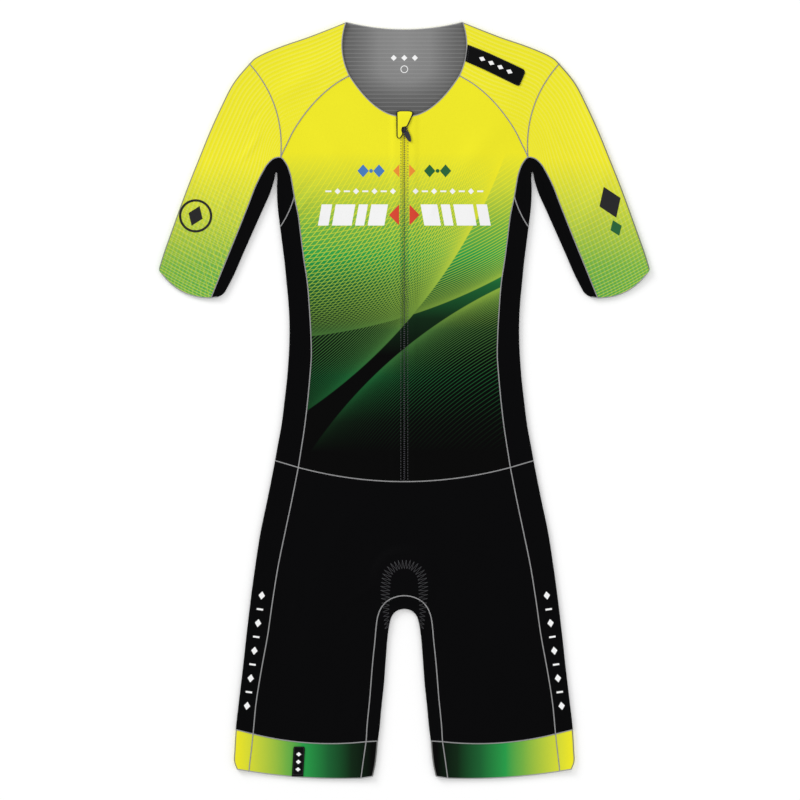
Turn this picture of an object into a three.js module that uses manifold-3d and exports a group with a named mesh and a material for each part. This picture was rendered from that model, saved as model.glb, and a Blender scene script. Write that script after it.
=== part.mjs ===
// A short-sleeved triathlon suit with a full front zip, size M, lying face up on a flat surface.
// Millimetres. +X is the wearer's left, +Y the neck, +Z up. The origin is under the suit's middle.
// The cloth is one wall. A back layer lies on the surface, a front layer lies on it, and a
// round fold joins them along the shoulders, sleeves, sides and legs.
// Neck, cuffs and leg hems are open. Every sewn piece is its own solid, a seam gap from the next.

import * as THREE from "three";
import { mergeVertices } from "three/addons/utils/BufferGeometryUtils.js";
import Module from "manifold-3d";

const wasm = await Module();
wasm.setup();

// Cloth
const WALL = 1.2;
const LAYER_GAP = 0.3;
const SEAM_GAP = 0.3;
const FOLD_RADIUS = 2.4;
const FOLD_RELAX = 14;
const EASE_LENGTH = 16;
const REST_TOP = WALL + LAYER_GAP + WALL;
const INNER_RADIUS = FOLD_RADIUS - WALL;

// Grid steps
const OUTER_ARC_STEPS = 5;
const INNER_ARC_STEPS = 3;
const RIBBED_BACK_STEPS = 4;
const PLAIN_BACK_STEPS = 1;
const FRONT_NECK_STEPS = 7;
const STRIP_STEPS = 2;
const LEG_STEPS = 9;
const NECK_STEPS = 7;

// Ribs of the yoke and sleeve cloth, two columns to a rib
const RIB_COUNT = 16;
const RIB_HEIGHT = 0.35;
const PLAIN_COLUMNS = 8;

// Waist, neck and zip
const WAIST_Y = -107.4;
const WAIST_RISE = 18.7;
const WAIST_HALF = 140.2;
const NECK_Y = 375;
const NECK_RISE = 54.5;
const NECK_HALF = 72.9;
const NECK_POWER = 2.1;
const BACK_NECK_Y = 490;
const BACK_NECK_RISE = 10;
const ZIP_SLIT_HALF = 3.2;
const TAPE_HALF = 12.5;
const TAPE_SPLIT = 0.2;
const TAPE_THICK = 1.0;
const TAPE_BOTTOM = WALL + LAYER_GAP;
const TAPE_LOW_Y = WAIST_Y + 1.9;
const TAPE_HIGH_Y = 372;
const RIDGE_HEIGHT = TAPE_THICK + LAYER_GAP;
const RIDGE_FADE = 8;
const RIDGE_END_FADE = 20;

// Seat pad between the layers
const PAD = { x: 0, y: -234, halfWidth: 31, halfLength: 28, thick: 2, lift: 3.2 };
const PAD_PLATEAU = 1.12;
const PAD_FADE = 0.48;
const PAD_SEGMENTS = 40;

// The least share of a corner's inset, so that a sharp corner stays where it is
const SHARP_CORNER = 0.2;

// Yoke sections from the neck to the sleeve head. The fold is the shoulder line, the seam the
// chest seam in front, and back the seam behind. A bow is how far a section curves to the neck.
const YOKE_SECTIONS = [
  { foldX: 77.4, foldY: 500, seamX: 72.9, seamY: 429.5, bow: -7.3, backX: 78.6, backY: 495, backBow: 0 },
  { foldX: 102.5, foldY: 490, seamX: 91.3, seamY: 418.5, bow: -3, backX: 95, backY: 471, backBow: 0 },
  { foldX: 130.3, foldY: 479.4, seamX: 110.5, seamY: 402.7, bow: 0, backX: 114, backY: 448, backBow: 1 },
  { foldX: 157, foldY: 470.4, seamX: 131.6, seamY: 378.9, bow: 3, backX: 134, backY: 419, backBow: 2 },
  { foldX: 178, foldY: 462.3, seamX: 147.5, seamY: 355, bow: 6, backX: 149, backY: 388, backBow: 4 },
  { foldX: 192.5, foldY: 455.6, seamX: 156.3, seamY: 337, bow: 9, backX: 157.5, backY: 361, backBow: 7 },
  { foldX: 200, foldY: 450.8, seamX: 160.8, seamY: 328, bow: 11.5, backX: 161.6, backY: 339, backBow: 10.5 },
  { foldX: 205, foldY: 445.3, seamX: 163.5, seamY: 321.4, bow: 14, backX: 163.5, backY: 321.4, backBow: 14 },
];

// Sleeve sections from the head seam to the cuff. The fold is the sleeve's outer edge and the
// seam joins the underarm gusset.
const SLEEVE_SECTIONS = [
  { foldX: 205, foldY: 445.3, seamX: 163.5, seamY: 321.4, bow: 14 },
  { foldX: 225, foldY: 421.3, seamX: 171.5, seamY: 320.4, bow: 11 },
  { foldX: 243, foldY: 387, seamX: 180.5, seamY: 313, bow: 8.5 },
  { foldX: 258, foldY: 353.8, seamX: 187.4, seamY: 302, bow: 6 },
  { foldX: 271.5, foldY: 320.5, seamX: 196, seamY: 285, bow: 4 },
  { foldX: 284.5, foldY: 288, seamX: 205.5, seamY: 260.5, bow: 2 },
  { foldX: 297, foldY: 254.5, seamX: 216.5, seamY: 232.5, bow: 0 },
  { foldX: 309, foldY: 221, seamX: 229, seamY: 201.5, bow: -2.5 },
  { foldX: 319.5, foldY: 191, seamX: 242, seamY: 169.5, bow: -5.5 },
  { foldX: 325.6, foldY: 170.5, seamX: 255.7, seamY: 135.5, bow: -9.4 },
];

// Underarm gusset sections below the armpit, down to the top of the side panel
const ARMPIT_SECTIONS = [
  { foldX: 168.1, foldY: 297.5, seamX: 156.8, seamY: 314, bow: 0 },
  { foldX: 168.4, foldY: 284, seamX: 151.3, seamY: 301, bow: 0 },
  { foldX: 167.8, foldY: 260, seamX: 147.8, seamY: 283.5, bow: -0.8 },
  { foldX: 164.3, foldY: 229.2, seamX: 145.5, seamY: 269.6, bow: -1.9 },
];

// The fold along the sleeve's underside, one row for each sleeve section from the armpit down
const SLEEVE_UNDERSIDE = [
  { foldX: 168.9, foldY: 301.9 },
  { foldX: 170.1, foldY: 301.2 },
  { foldX: 171.1, foldY: 296.5 },
  { foldX: 172.9, foldY: 288.5 },
  { foldX: 177.8, foldY: 273.4 },
  { foldX: 186.5, foldY: 254 },
  { foldX: 198.5, foldY: 227 },
  { foldX: 212.5, foldY: 195.5 },
  { foldX: 226.5, foldY: 163.5 },
  { foldX: 240, foldY: 138 },
];

// Torso side panel sections from the underarm gusset to the waist
const SIDE_SECTIONS = [
  { foldX: 164.3, foldY: 229.2, seamX: 145.5, seamY: 269.6, bow: -1.9 },
  { foldX: 161.2, foldY: 205, seamX: 140.6, seamY: 246.3, bow: -1.1 },
  { foldX: 158.2, foldY: 181, seamX: 136.9, seamY: 218, bow: -0.4 },
  { foldX: 155.9, foldY: 157, seamX: 133.2, seamY: 189, bow: 0 },
  { foldX: 153.5, foldY: 132, seamX: 128.3, seamY: 156, bow: 0 },
  { foldX: 152, foldY: 105, seamX: 125.5, seamY: 121.6, bow: 0 },
  { foldX: 152, foldY: 78, seamX: 123.6, seamY: 88, bow: 0 },
  { foldX: 153.3, foldY: 52, seamX: 123, seamY: 58, bow: 0 },
  { foldX: 155.3, foldY: 27, seamX: 125, seamY: 30, bow: 0 },
  { foldX: 158.5, foldY: -1, seamX: 128.1, seamY: -3, bow: 0 },
  { foldX: 163, foldY: -36, seamX: 132.3, seamY: -38, bow: 0 },
  { foldX: 167.5, foldY: -60, seamX: 136.6, seamY: -66, bow: 0 },
  { foldX: 171, foldY: -79.6, seamX: WAIST_HALF, seamY: WAIST_Y + WAIST_RISE, bow: 0 },
];

// Crotch sections from the centre line outwards: a point of the waist seam, of the gusset
// seam and of the inner fold
const CROTCH_SECTIONS = [
  { waistX: 0, gussetX: 0, gussetY: -258.2, innerX: 0, innerY: -275.9 },
  { waistX: 28, gussetX: 12.5, gussetY: -260.2, innerX: 6, innerY: -276.7 },
  { waistX: 56, gussetX: 23, gussetY: -265.6, innerX: 11.6, innerY: -279.4 },
  { waistX: 84, gussetX: 31, gussetY: -275, innerX: 16, innerY: -284.5 },
  { waistX: 112, gussetX: 35.3, gussetY: -286.5, innerX: 18.9, innerY: -292.5 },
  { waistX: WAIST_HALF, gussetX: 37.3, gussetY: -300, innerX: 20.6, innerY: -301.5 },
];

// Leg sections from below the hip to the top of the leg band
const LEG_SECTIONS = [
  { foldX: 180.9, foldY: -130, sideX: 148.3, sideY: -130,
    gussetX: 38.9, gussetY: -318, innerX: 22.6, innerY: -318, bow: 0 },
  { foldX: 190.3, foldY: -175, sideX: 157.8, sideY: -175,
    gussetX: 40.8, gussetY: -336, innerX: 24, innerY: -336, bow: 0 },
  { foldX: 197.3, foldY: -220, sideX: 167, sideY: -220,
    gussetX: 42.6, gussetY: -355, innerX: 25.4, innerY: -355, bow: 0 },
  { foldX: 203.4, foldY: -265, sideX: 174.2, sideY: -265,
    gussetX: 44.1, gussetY: -374, innerX: 26.8, innerY: -374, bow: 0 },
  { foldX: 208.7, foldY: -310, sideX: 180.6, sideY: -310,
    gussetX: 45.6, gussetY: -393, innerX: 28.8, innerY: -393, bow: 1 },
  { foldX: 213.4, foldY: -353, sideX: 188.8, sideY: -355,
    gussetX: 47.5, gussetY: -412, innerX: 30.8, innerY: -412, bow: 2.5 },
  { foldX: 218.5, foldY: -396, sideX: 196, sideY: -400,
    gussetX: 49.3, gussetY: -431, innerX: 32.5, innerY: -431, bow: 4.5 },
  { foldX: 222.9, foldY: -435.3, sideX: 200, sideY: -441.1,
    gussetX: 50.6, gussetY: -451.3, innerX: 34.9, innerY: -450.4, bow: 6.8 },
];

// Leg band sections from its top seam to the hem
const BAND_SECTIONS = [
  { foldX: 222.9, foldY: -435.3, sideX: 200, sideY: -441.1,
    gussetX: 50.6, gussetY: -451.3, innerX: 34.9, innerY: -450.4, bow: 6.8 },
  { foldX: 224.6, foldY: -462, sideX: 202.7, sideY: -466,
    gussetX: 52.9, gussetY: -467, innerX: 36.2, innerY: -466, bow: 6 },
  { foldX: 224.8, foldY: -479, sideX: 204.8, sideY: -484,
    gussetX: 55.7, gussetY: -487, innerX: 38.8, innerY: -485.5, bow: 5 },
  { foldX: 221.5, foldY: -487.5, sideX: 205.3, sideY: -490.3,
    gussetX: 57.4, gussetY: -499.6, innerX: 41.5, innerY: -497, bow: 3.6 },
];

// Low swells of the front layer, where the cloth stands off the back: middle, direction in
// degrees, spread along and across, and height
const SWELLS = [
  { x: 96, y: 330, angle: 52, along: 46, across: 15, height: 1.6 },
  { x: -88, y: 318, angle: 124, along: 52, across: 17, height: 1.9 },
  { x: 74, y: 190, angle: 70, along: 60, across: 19, height: 1.3 },
  { x: -92, y: 150, angle: 98, along: 70, across: 18, height: 1.6 },
  { x: 88, y: 20, angle: 28, along: 44, across: 14, height: 1.8 },
  { x: -76, y: -38, angle: 160, along: 48, across: 13, height: 1.5 },
  { x: 252, y: 262, angle: 66, along: 52, across: 15, height: 1.8 },
  { x: -246, y: 286, angle: 116, along: 46, across: 16, height: 1.5 },
  { x: 138, y: 424, angle: 150, along: 32, across: 14, height: 1.1 },
  { x: -142, y: 418, angle: 34, along: 36, across: 13, height: 1.3 },
  { x: 84, y: -176, angle: 118, along: 48, across: 15, height: 1.7 },
  { x: -92, y: -196, angle: 64, along: 56, across: 16, height: 1.6 },
  { x: 118, y: -356, angle: 96, along: 62, across: 22, height: 2.1 },
  { x: -126, y: -330, angle: 82, along: 58, across: 20, height: 1.9 },
];
const SWELL_CLEAR = { from: 16, over: 22 };

// Zip slider, its crown and the pull
const SLIDER = {
  y: 358.4, halfWidth: 2.7, tailHalfWidth: 1.9, halfLength: 5, shoulder: 1.75, bottom: 2.8, top: 4.4,
};
const CROWN = { halfWidth: 1, halfLength: 2.6, tunnelHalf: 1.6, underside: 6.05, top: 6.8, round: 0.9 };
const PIN = { x: 0.5, y: SLIDER.y, z: 5.3, radius: 0.45, sides: 12 };
const PULL = { thick: 1.2, windowHalf: 2.4, windowLength: 3.8, armHalf: 3.2, length: 18.1, swing: 25 };

// The leaf's long edges: how far they swell past the arms, how far they draw in at the tip, and
// how far down the pull the swelling is
const LEAF = { swell: 0.5, draw: 0.6, belly: 9.96 };
const SLIDER_CURVE_STEPS = 5;
const CROWN_CURVE_STEPS = 4;
const LEAF_CURVE_STEPS = 9;

// Rows of the flap over the zip's top: its two edges, and the height of its underside
const GARAGE_ROWS = [
  { y: 347.2, left: -8.1, right: -5.6, under: 4.35 },
  { y: 348.6, left: -9.1, right: -4.5, under: 4.35 },
  { y: 352.2, left: -9.3, right: -2.4, under: 4.35 },
  { y: 354, left: -9.35, right: -2.4, under: 4.35 },
  { y: 356.4, left: -9.4, right: -3.3, under: 4.35 },
  { y: 358.8, left: -9.4, right: -3.3, under: 4.5 },
  { y: 360.2, left: -9.45, right: -2.8, under: 4.7 },
  { y: 361.6, left: -9.5, right: -2, under: 4.75 },
  { y: 362.2, left: -9.5, right: 3, under: 4.75 },
  { y: 364.4, left: -9.5, right: 4.5, under: 4.75 },
  { y: 369, left: -9.55, right: 6.7, under: 4.6 },
  { y: 374, left: -9.6, right: 9, under: 4.4 },
  { y: 378, left: -9.65, right: 10.7, under: 3.9 },
  { y: 380.6, left: -9.6, right: 10.9, under: 2.9 },
  { y: 382.2, left: -6.8, right: 7.6, under: 1.9 },
];
const GARAGE_THICK = 1.1;
const GARAGE_COLUMNS = 3;

// Sewn-on labels: the corners of each, from its first short side to its last
const BADGE_ENDS = [
  { lowX: 81.5, lowY: 449.8, highX: 84.6, highY: 470.2 },
  { lowX: 104.5, lowY: 441.2, highX: 110.8, highY: 461 },
  { lowX: 128.5, lowY: 429.2, highX: 136.2, highY: 449.4 },
  { lowX: 148.5, lowY: 417.8, highX: 157, highY: 438.2 },
  { lowX: 152.4, lowY: 418.4, highX: 158.8, highY: 433.6 },
];
const TAB_ROWS = [
  { y: -497.2, left: -149, right: -132 },
  { y: -485, left: -149, right: -132 },
  { y: -472, left: -149, right: -132 },
  { y: -460.5, left: -149, right: -132 },
  { y: -457, left: -146.5, right: -134.5 },
];
const LABEL_THICK = 1;
const LABEL_COLUMNS = 3;

// Colours
const FINISHES = {
  brightCloth: { color: 0xf4ec2a, roughness: 0.82, metalness: 0 },
  darkCloth: { color: 0x0b0b0d, roughness: 0.85, metalness: 0 },
  insideCloth: { color: 0x7c7c7e, roughness: 0.88, metalness: 0 },
  bandCloth: { color: 0x5aa83a, roughness: 0.75, metalness: 0 },
  label: { color: 0x121214, roughness: 0.6, metalness: 0 },
  padding: { color: 0x2a2a2d, roughness: 0.95, metalness: 0 },
  tape: { color: 0xe7df2c, roughness: 0.8, metalness: 0 },
  hardware: { color: 0x33343a, roughness: 0.4, metalness: 0.6 },
};

const vec = (x, y) => new THREE.Vector2(x, y);
const count = (n) => Array.from({ length: n }, (_, index) => index);
const mirrored = (point) => vec(-point.x, point.y);

/** Rises smoothly from 0 to 1 as t goes from 0 to 1. */
function smooth(t) {
  const clamped = Math.min(1, Math.max(0, t));
  return clamped * clamped * (3 - 2 * clamped);
}

/** The waist seam's height at a distance from the centre line. */
function waistY(x) {
  return WAIST_Y + WAIST_RISE * (x / WAIST_HALF) ** 2;
}

/** The front neckline's height at a distance from the centre line. */
function neckY(x) {
  return NECK_Y + NECK_RISE * (x / NECK_HALF) ** NECK_POWER;
}

/** A point of a section, a share of the way from one end to the other, bowed to one side. */
function sectionPoint(from, to, bow, share) {
  const along = to.clone().sub(from);
  const side = vec(along.y, -along.x).normalize();
  return from.clone().addScaledVector(along, share).addScaledVector(side, 4 * bow * share * (1 - share));
}

/** The points of one column pair of a section table. */
function column(sections, name) {
  return sections.map((row) => vec(row[`${name}X`], row[`${name}Y`]));
}

// The suit's edges in plan, on the wearer's left
const sleeveSeam = column(SLEEVE_SECTIONS, "seam");
const armpitSeam = column(ARMPIT_SECTIONS, "seam");
const sideSeam = column(SIDE_SECTIONS, "seam");
const armpitPoint = sleeveSeam[0];
const legSeam = [sideSeam.at(-1), ...column(LEG_SECTIONS, "side")];
const legFold = [column(SIDE_SECTIONS, "fold").at(-1), ...column(LEG_SECTIONS, "fold")];
const waistSeam = CROTCH_SECTIONS.map((row) => vec(row.waistX, waistY(row.waistX)));
const gussetSeam = [...column(CROTCH_SECTIONS, "gusset"), ...column(LEG_SECTIONS, "gusset")];
const innerFold = [...column(CROTCH_SECTIONS, "inner"), ...column(LEG_SECTIONS, "inner")];
const outerFolds = [
  [...column(YOKE_SECTIONS, "fold"), ...column(SLEEVE_SECTIONS, "fold")],
  [...column(SLEEVE_UNDERSIDE, "fold").reverse(), ...column(ARMPIT_SECTIONS, "fold"),
    ...column(SIDE_SECTIONS, "fold"), ...legFold, ...column(BAND_SECTIONS, "fold")],
  [...innerFold, ...column(BAND_SECTIONS, "inner")],
];

/** The distance from a plan point to a straight stretch. */
function stretchDistance(point, from, to) {
  const along = to.clone().sub(from);
  const length = along.lengthSq();
  const share = length > 0 ? point.clone().sub(from).dot(along) / length : 0;
  return point.distanceTo(from.clone().addScaledVector(along, Math.min(1, Math.max(0, share))));
}

/** The distance from a plan point to the nearest fold. */
function foldDistance(x, y) {
  const point = vec(Math.abs(x), y);
  let nearest = Infinity;
  for (const fold of outerFolds) {
    for (let k = 1; k < fold.length; k += 1) {
      nearest = Math.min(nearest, stretchDistance(point, fold[k - 1], fold[k]));
    }
  }
  return nearest;
}

/** How far the zip tapes lift the front layer. */
function zipRidge(x, y) {
  const across = 1 - smooth((Math.abs(x) - TAPE_HALF) / RIDGE_FADE);
  const belowEnd = smooth((TAPE_LOW_Y - y) / RIDGE_END_FADE);
  return RIDGE_HEIGHT * across * (1 - belowEnd);
}

/** How far the seat pad lifts the front layer. */
function padLift(x, y) {
  const reach = Math.hypot((x - PAD.x) / PAD.halfWidth, (y - PAD.y) / PAD.halfLength);
  return PAD.lift * (1 - smooth((reach - PAD_PLATEAU) / PAD_FADE));
}

/** The height of the low swells at a plan point. */
function swellHeight(x, y) {
  let height = 0;
  for (const swell of SWELLS) {
    const turn = THREE.MathUtils.degToRad(swell.angle);
    const dx = x - swell.x;
    const dy = y - swell.y;
    const along = (dx * Math.cos(turn) + dy * Math.sin(turn)) / swell.along;
    const across = (dy * Math.cos(turn) - dx * Math.sin(turn)) / swell.across;
    height += swell.height * Math.exp(-along * along - across * across);
  }
  return height * smooth((Math.abs(x) - SWELL_CLEAR.from) / SWELL_CLEAR.over);
}

/** The height of the front layer's outer face. */
function clothTop(x, y) {
  const free = Math.max(0, foldDistance(x, y) - FOLD_RADIUS);
  const fromFold = (2 * FOLD_RADIUS - REST_TOP) * Math.exp(-free / FOLD_RELAX);
  const lifted = zipRidge(x, y) + padLift(x, y) + swellHeight(x, y);
  return REST_TOP + fromFold + lifted * smooth(free / EASE_LENGTH);
}

/** The unit normal of an edge at one of its points, towards a point inside. */
function inwardNormal(points, index, inside) {
  const before = points[Math.max(index - 1, 0)];
  const after = points[Math.min(index + 1, points.length - 1)];
  const along = after.clone().sub(before).normalize();
  const normal = vec(-along.y, along.x);
  return normal.dot(inside.clone().sub(points[index])) < 0 ? normal.negate() : normal;
}

/** Moves the sewn edges of a plan grid in by half a seam gap. */
function insetGrid(grid, sewn) {
  const lastRow = grid.length - 1;
  const lastColumn = grid[0].length - 1;
  const columnAt = (j) => grid.map((row) => row[j]);
  return grid.map((row, i) => row.map((point, j) => {
    const normals = [];
    if (i === 0 && sewn.start) normals.push(inwardNormal(row, j, grid[1][j]));
    if (i === lastRow && sewn.end) normals.push(inwardNormal(row, j, grid[i - 1][j]));
    if (j === 0 && sewn.near) normals.push(inwardNormal(columnAt(0), i, row[1]));
    if (j === lastColumn && sewn.far) normals.push(inwardNormal(columnAt(j), i, row[j - 1]));
    if (normals.length === 0) return point.clone();
    const sum = normals.reduce((total, normal) => total.clone().add(normal), vec(0, 0));
    const miter = normals.length === 2 ? 1 + normals[0].dot(normals[1]) : 1;
    return point.clone().addScaledVector(sum, SEAM_GAP / 2 / miter);
  }));
}

/** Moves a closed outline in by half a seam gap. */
function insetLoop(points) {
  const turn = THREE.ShapeUtils.area(points) > 0 ? 1 : -1;
  return points.map((point, k) => {
    const before = points.at(k - 1);
    const after = points[(k + 1) % points.length];
    const first = point.clone().sub(before).normalize();
    const second = after.clone().sub(point).normalize();
    const normals = [vec(-first.y, first.x), vec(-second.y, second.x)];
    const sum = normals[0].clone().add(normals[1]);
    const miter = Math.max(SHARP_CORNER, 1 + normals[0].dot(normals[1]));
    return point.clone().addScaledVector(sum, (turn * SEAM_GAP) / 2 / miter);
  });
}

/** Each point's share of the way along a row. */
function lengthShares(row) {
  const sums = [0];
  for (let k = 1; k < row.length; k += 1) {
    sums.push(sums[k - 1] + row[k].distanceTo(row[k - 1]));
  }
  return sums.map((sum) => sum / sums.at(-1));
}

/** Triangles between two rows of unlike counts, for the rim at a wall's first row. */
function rimTriangles(outerRow, innerRow, outerStart, innerStart) {
  const outerShares = lengthShares(outerRow);
  const innerShares = lengthShares(innerRow);
  const triangles = [];
  let a = 0;
  let b = 0;
  while (a < outerRow.length - 1 || b < innerRow.length - 1) {
    const outerNext = a < outerRow.length - 1 ? outerShares[a + 1] : Infinity;
    const innerNext = b < innerRow.length - 1 ? innerShares[b + 1] : Infinity;
    if (outerNext <= innerNext) {
      triangles.push([outerStart + a, outerStart + a + 1, innerStart + b]);
      a += 1;
    } else {
      triangles.push([innerStart + b + 1, innerStart + b, outerStart + a]);
      b += 1;
    }
  }
  return triangles;
}

/** A closed wall between an outer and an inner face of as many rows; their columns may differ. */
function closedWall(outer, inner) {
  const points = [...outer.flat(), ...inner.flat()];
  const wide = outer[0].length;
  const plain = inner[0].length;
  const innerBase = outer.length * wide;
  const last = outer.length - 1;
  const at = (i, j) => i * wide + j;
  const under = (i, j) => innerBase + i * plain + j;
  const triangles = [];
  for (let i = 0; i < last; i += 1) {
    for (let j = 0; j < wide - 1; j += 1) {
      triangles.push([at(i, j), at(i + 1, j), at(i + 1, j + 1)]);
      triangles.push([at(i, j), at(i + 1, j + 1), at(i, j + 1)]);
    }
    for (let j = 0; j < plain - 1; j += 1) {
      triangles.push([under(i, j), under(i + 1, j + 1), under(i + 1, j)]);
      triangles.push([under(i, j), under(i, j + 1), under(i + 1, j + 1)]);
    }
    triangles.push([at(i + 1, 0), at(i, 0), under(i, 0)]);
    triangles.push([at(i + 1, 0), under(i, 0), under(i + 1, 0)]);
    triangles.push([at(i, wide - 1), at(i + 1, wide - 1), under(i + 1, plain - 1)]);
    triangles.push([at(i, wide - 1), under(i + 1, plain - 1), under(i, plain - 1)]);
  }
  triangles.push(...rimTriangles(outer[0], inner[0], 0, innerBase));
  const endRim = rimTriangles(outer[last], inner[last], at(last, 0), under(last, 0));
  triangles.push(...endRim.map(([a, b, c]) => [a, c, b]));
  return facingOut(points, triangles);
}

/** A geometry of the triangles, turned so that its faces point out. */
function facingOut(points, triangles) {
  let volume = 0;
  const cross = new THREE.Vector3();
  for (const [a, b, c] of triangles) {
    volume += points[a].dot(cross.crossVectors(points[b], points[c]));
  }
  const turned = volume < 0 ? triangles.map(([a, b, c]) => [a, c, b]) : triangles;
  const geometry = new THREE.BufferGeometry().setFromPoints(points);
  geometry.setIndex(turned.flat());
  geometry.computeVertexNormals();
  return geometry;
}

/** A wall that lies on what is below it: its outer face follows the cloth, lifted by `lift`. */
function laidWall(grid, thick, lift) {
  const raised = (point, drop) => {
    return new THREE.Vector3(point.x, point.y, clothTop(point.x, point.y) + lift - drop);
  };
  const outer = grid.map((row) => row.map((point) => raised(point, 0)));
  const inner = grid.map((row) => row.map((point) => raised(point, thick)));
  return closedWall(outer, inner);
}

/** Distances from a fold along a section: round the fold first, then level to the section's end. */
function sectionDistances(length, radius, arcSteps, levelSteps) {
  const quarter = Math.PI / 2 / arcSteps;
  const arc = count(arcSteps + 1).map((k) => FOLD_RADIUS - radius * Math.cos(k * quarter));
  const levelStep = (length - FOLD_RADIUS) / levelSteps;
  const level = count(levelSteps).map((k) => FOLD_RADIUS + levelStep * (k + 1));
  return [...arc, ...level];
}

/** The plan grid of one layer of a folded piece, from its fold to its seam. */
function layerGrid(rows, layer, radius, arcSteps, levelSteps, sewn) {
  const grid = rows.map((row) => {
    const end = row[layer];
    const length = row.fold.distanceTo(end.seam);
    const distances = sectionDistances(length, radius, arcSteps, levelSteps);
    return distances.map((distance) => sectionPoint(row.fold, end.seam, end.bow, distance / length));
  });
  return insetGrid(grid, { ...sewn, near: false, far: true });
}

/** One face, outer or inner, of a wall that goes from its front seam round the fold to its back seam. */
function foldedFace(rows, radius, arcSteps, levelSteps, backSteps, sewn, ribHeight) {
  const front = layerGrid(rows, "front", radius, arcSteps, levelSteps, sewn);
  const back = layerGrid(rows, "back", radius, arcSteps, backSteps, sewn);
  const drop = FOLD_RADIUS - radius;
  const arcRise = (k) => radius * Math.sin((k / arcSteps) * (Math.PI / 2));
  return front.map((row, i) => {
    const top = row.map((point, k) => {
      const level = k - arcSteps;
      const rib = level > 0 && level % 2 === 1 ? ribHeight : 0;
      const height = level <= 0 ? FOLD_RADIUS + arcRise(k) : clothTop(point.x, point.y) - drop + rib;
      return new THREE.Vector3(point.x, point.y, height);
    });
    const bottom = back[i].map((point, k) => {
      return new THREE.Vector3(point.x, point.y, FOLD_RADIUS - arcRise(Math.min(k, arcSteps)));
    });
    return [...top.reverse(), ...bottom.slice(1)];
  });
}

/** The wall of a piece that is folded over an edge of the suit. */
function foldedWall(rows, levelSteps, sewn, ribbed = false) {
  const outerSteps = ribbed ? 2 * RIB_COUNT : levelSteps;
  const backSteps = ribbed ? RIBBED_BACK_STEPS : PLAIN_BACK_STEPS;
  const rise = ribbed ? RIB_HEIGHT : 0;
  const outer = foldedFace(rows, FOLD_RADIUS, OUTER_ARC_STEPS, outerSteps, backSteps, sewn, rise);
  const inner = foldedFace(rows, INNER_RADIUS, INNER_ARC_STEPS, levelSteps, backSteps, sewn, 0);
  return closedWall(outer, inner);
}

/** A row of a folded piece whose front and back seams lie over each other. */
function evenRow(fold, seam, bow = 0) {
  return { fold, front: { seam, bow }, back: { seam, bow } };
}

/** The even rows of a section table, from its fold to the named seam. */
function evenRows(sections, foldName, seamName) {
  const seams = column(sections, seamName);
  return column(sections, foldName).map((fold, k) => evenRow(fold, seams[k], sections[k].bow));
}

/** The same rows on the wearer's right. */
function mirrorRows(rows) {
  const flip = (end) => ({ seam: mirrored(end.seam), bow: -end.bow });
  return rows.map((row) => ({ fold: mirrored(row.fold), front: flip(row.front), back: flip(row.back) }));
}

/** A plate of an even thickness with the given outline. */
function plate(outline, bottom, thick) {
  const options = { depth: thick, bevelEnabled: false };
  return new THREE.ExtrudeGeometry(new THREE.Shape(outline), options).translate(0, 0, bottom);
}

/** A closed geometry as a solid that can be joined or cut. */
function solidOf(geometry) {
  const bare = geometry.clone();
  bare.deleteAttribute("normal");
  bare.deleteAttribute("uv");
  const merged = mergeVertices(bare);
  return new wasm.Manifold(new wasm.Mesh({
    numProp: 3,
    vertProperties: new Float32Array(merged.attributes.position.array),
    triVerts: new Uint32Array(merged.index.array),
  }));
}

/** The geometry of a joined or cut solid. */
function geometryOf(solid) {
  const mesh = solid.getMesh();
  const geometry = new THREE.BufferGeometry();
  geometry.setAttribute("position", new THREE.BufferAttribute(mesh.vertProperties, 3));
  geometry.setIndex(new THREE.BufferAttribute(mesh.triVerts, 1));
  geometry.computeVertexNormals();
  return geometry;
}

/** Joins geometries that run into each other to one body. */
function joined(...geometries) {
  const [first, ...rest] = geometries.map(solidOf);
  return geometryOf(rest.reduce((body, solid) => body.add(solid), first));
}

const suit = new THREE.Group();
suit.name = "suit";

/** Adds a named piece to the suit. */
function addPiece(name, geometry, finish) {
  const mesh = new THREE.Mesh(geometry, new THREE.MeshStandardMaterial(FINISHES[finish]));
  mesh.name = name;
  suit.add(mesh);
}

/** Adds a folded piece on both sides of the suit. */
function addFoldedPair(name, rows, levelSteps, sewn, finish, ribbed = false) {
  addPiece(`${name}_left`, foldedWall(rows, levelSteps, sewn, ribbed), finish);
  addPiece(`${name}_right`, foldedWall(mirrorRows(rows), levelSteps, sewn, ribbed), finish);
}

/** Adds a piece that lies on the suit, from its grid on the wearer's left, on both sides. */
function addLaidPair(name, grid, sewn, finish) {
  addPiece(`${name}_left`, laidWall(insetGrid(grid, sewn), WALL, 0), finish);
  const flipped = grid.map((row) => row.map(mirrored));
  addPiece(`${name}_right`, laidWall(insetGrid(flipped, sewn), WALL, 0), finish);
}

/** The shoulder yokes, ribbed along the shoulder. */
function addYokes() {
  const rows = YOKE_SECTIONS.map((row) => ({
    fold: vec(row.foldX, row.foldY),
    front: { seam: vec(row.seamX, row.seamY), bow: row.bow },
    back: { seam: vec(row.backX, row.backY), bow: row.backBow },
  }));
  addFoldedPair("yoke", rows, PLAIN_COLUMNS, { start: false, end: true }, "brightCloth", true);
}

/** The sleeves, ribbed along the arm. */
function addSleeves() {
  const rows = evenRows(SLEEVE_SECTIONS, "fold", "seam");
  addFoldedPair("sleeve", rows, PLAIN_COLUMNS, { start: true, end: false }, "brightCloth", true);
}

/** The gussets along the sleeves' underside and round the armpits. */
function addUnderarms() {
  const underside = column(SLEEVE_UNDERSIDE, "fold").map((fold, k) => evenRow(fold, sleeveSeam[k]));
  const rows = [...underside.reverse(), ...evenRows(ARMPIT_SECTIONS, "fold", "seam")];
  addFoldedPair("underarm", rows, STRIP_STEPS, { start: false, end: true }, "darkCloth");
}

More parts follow.
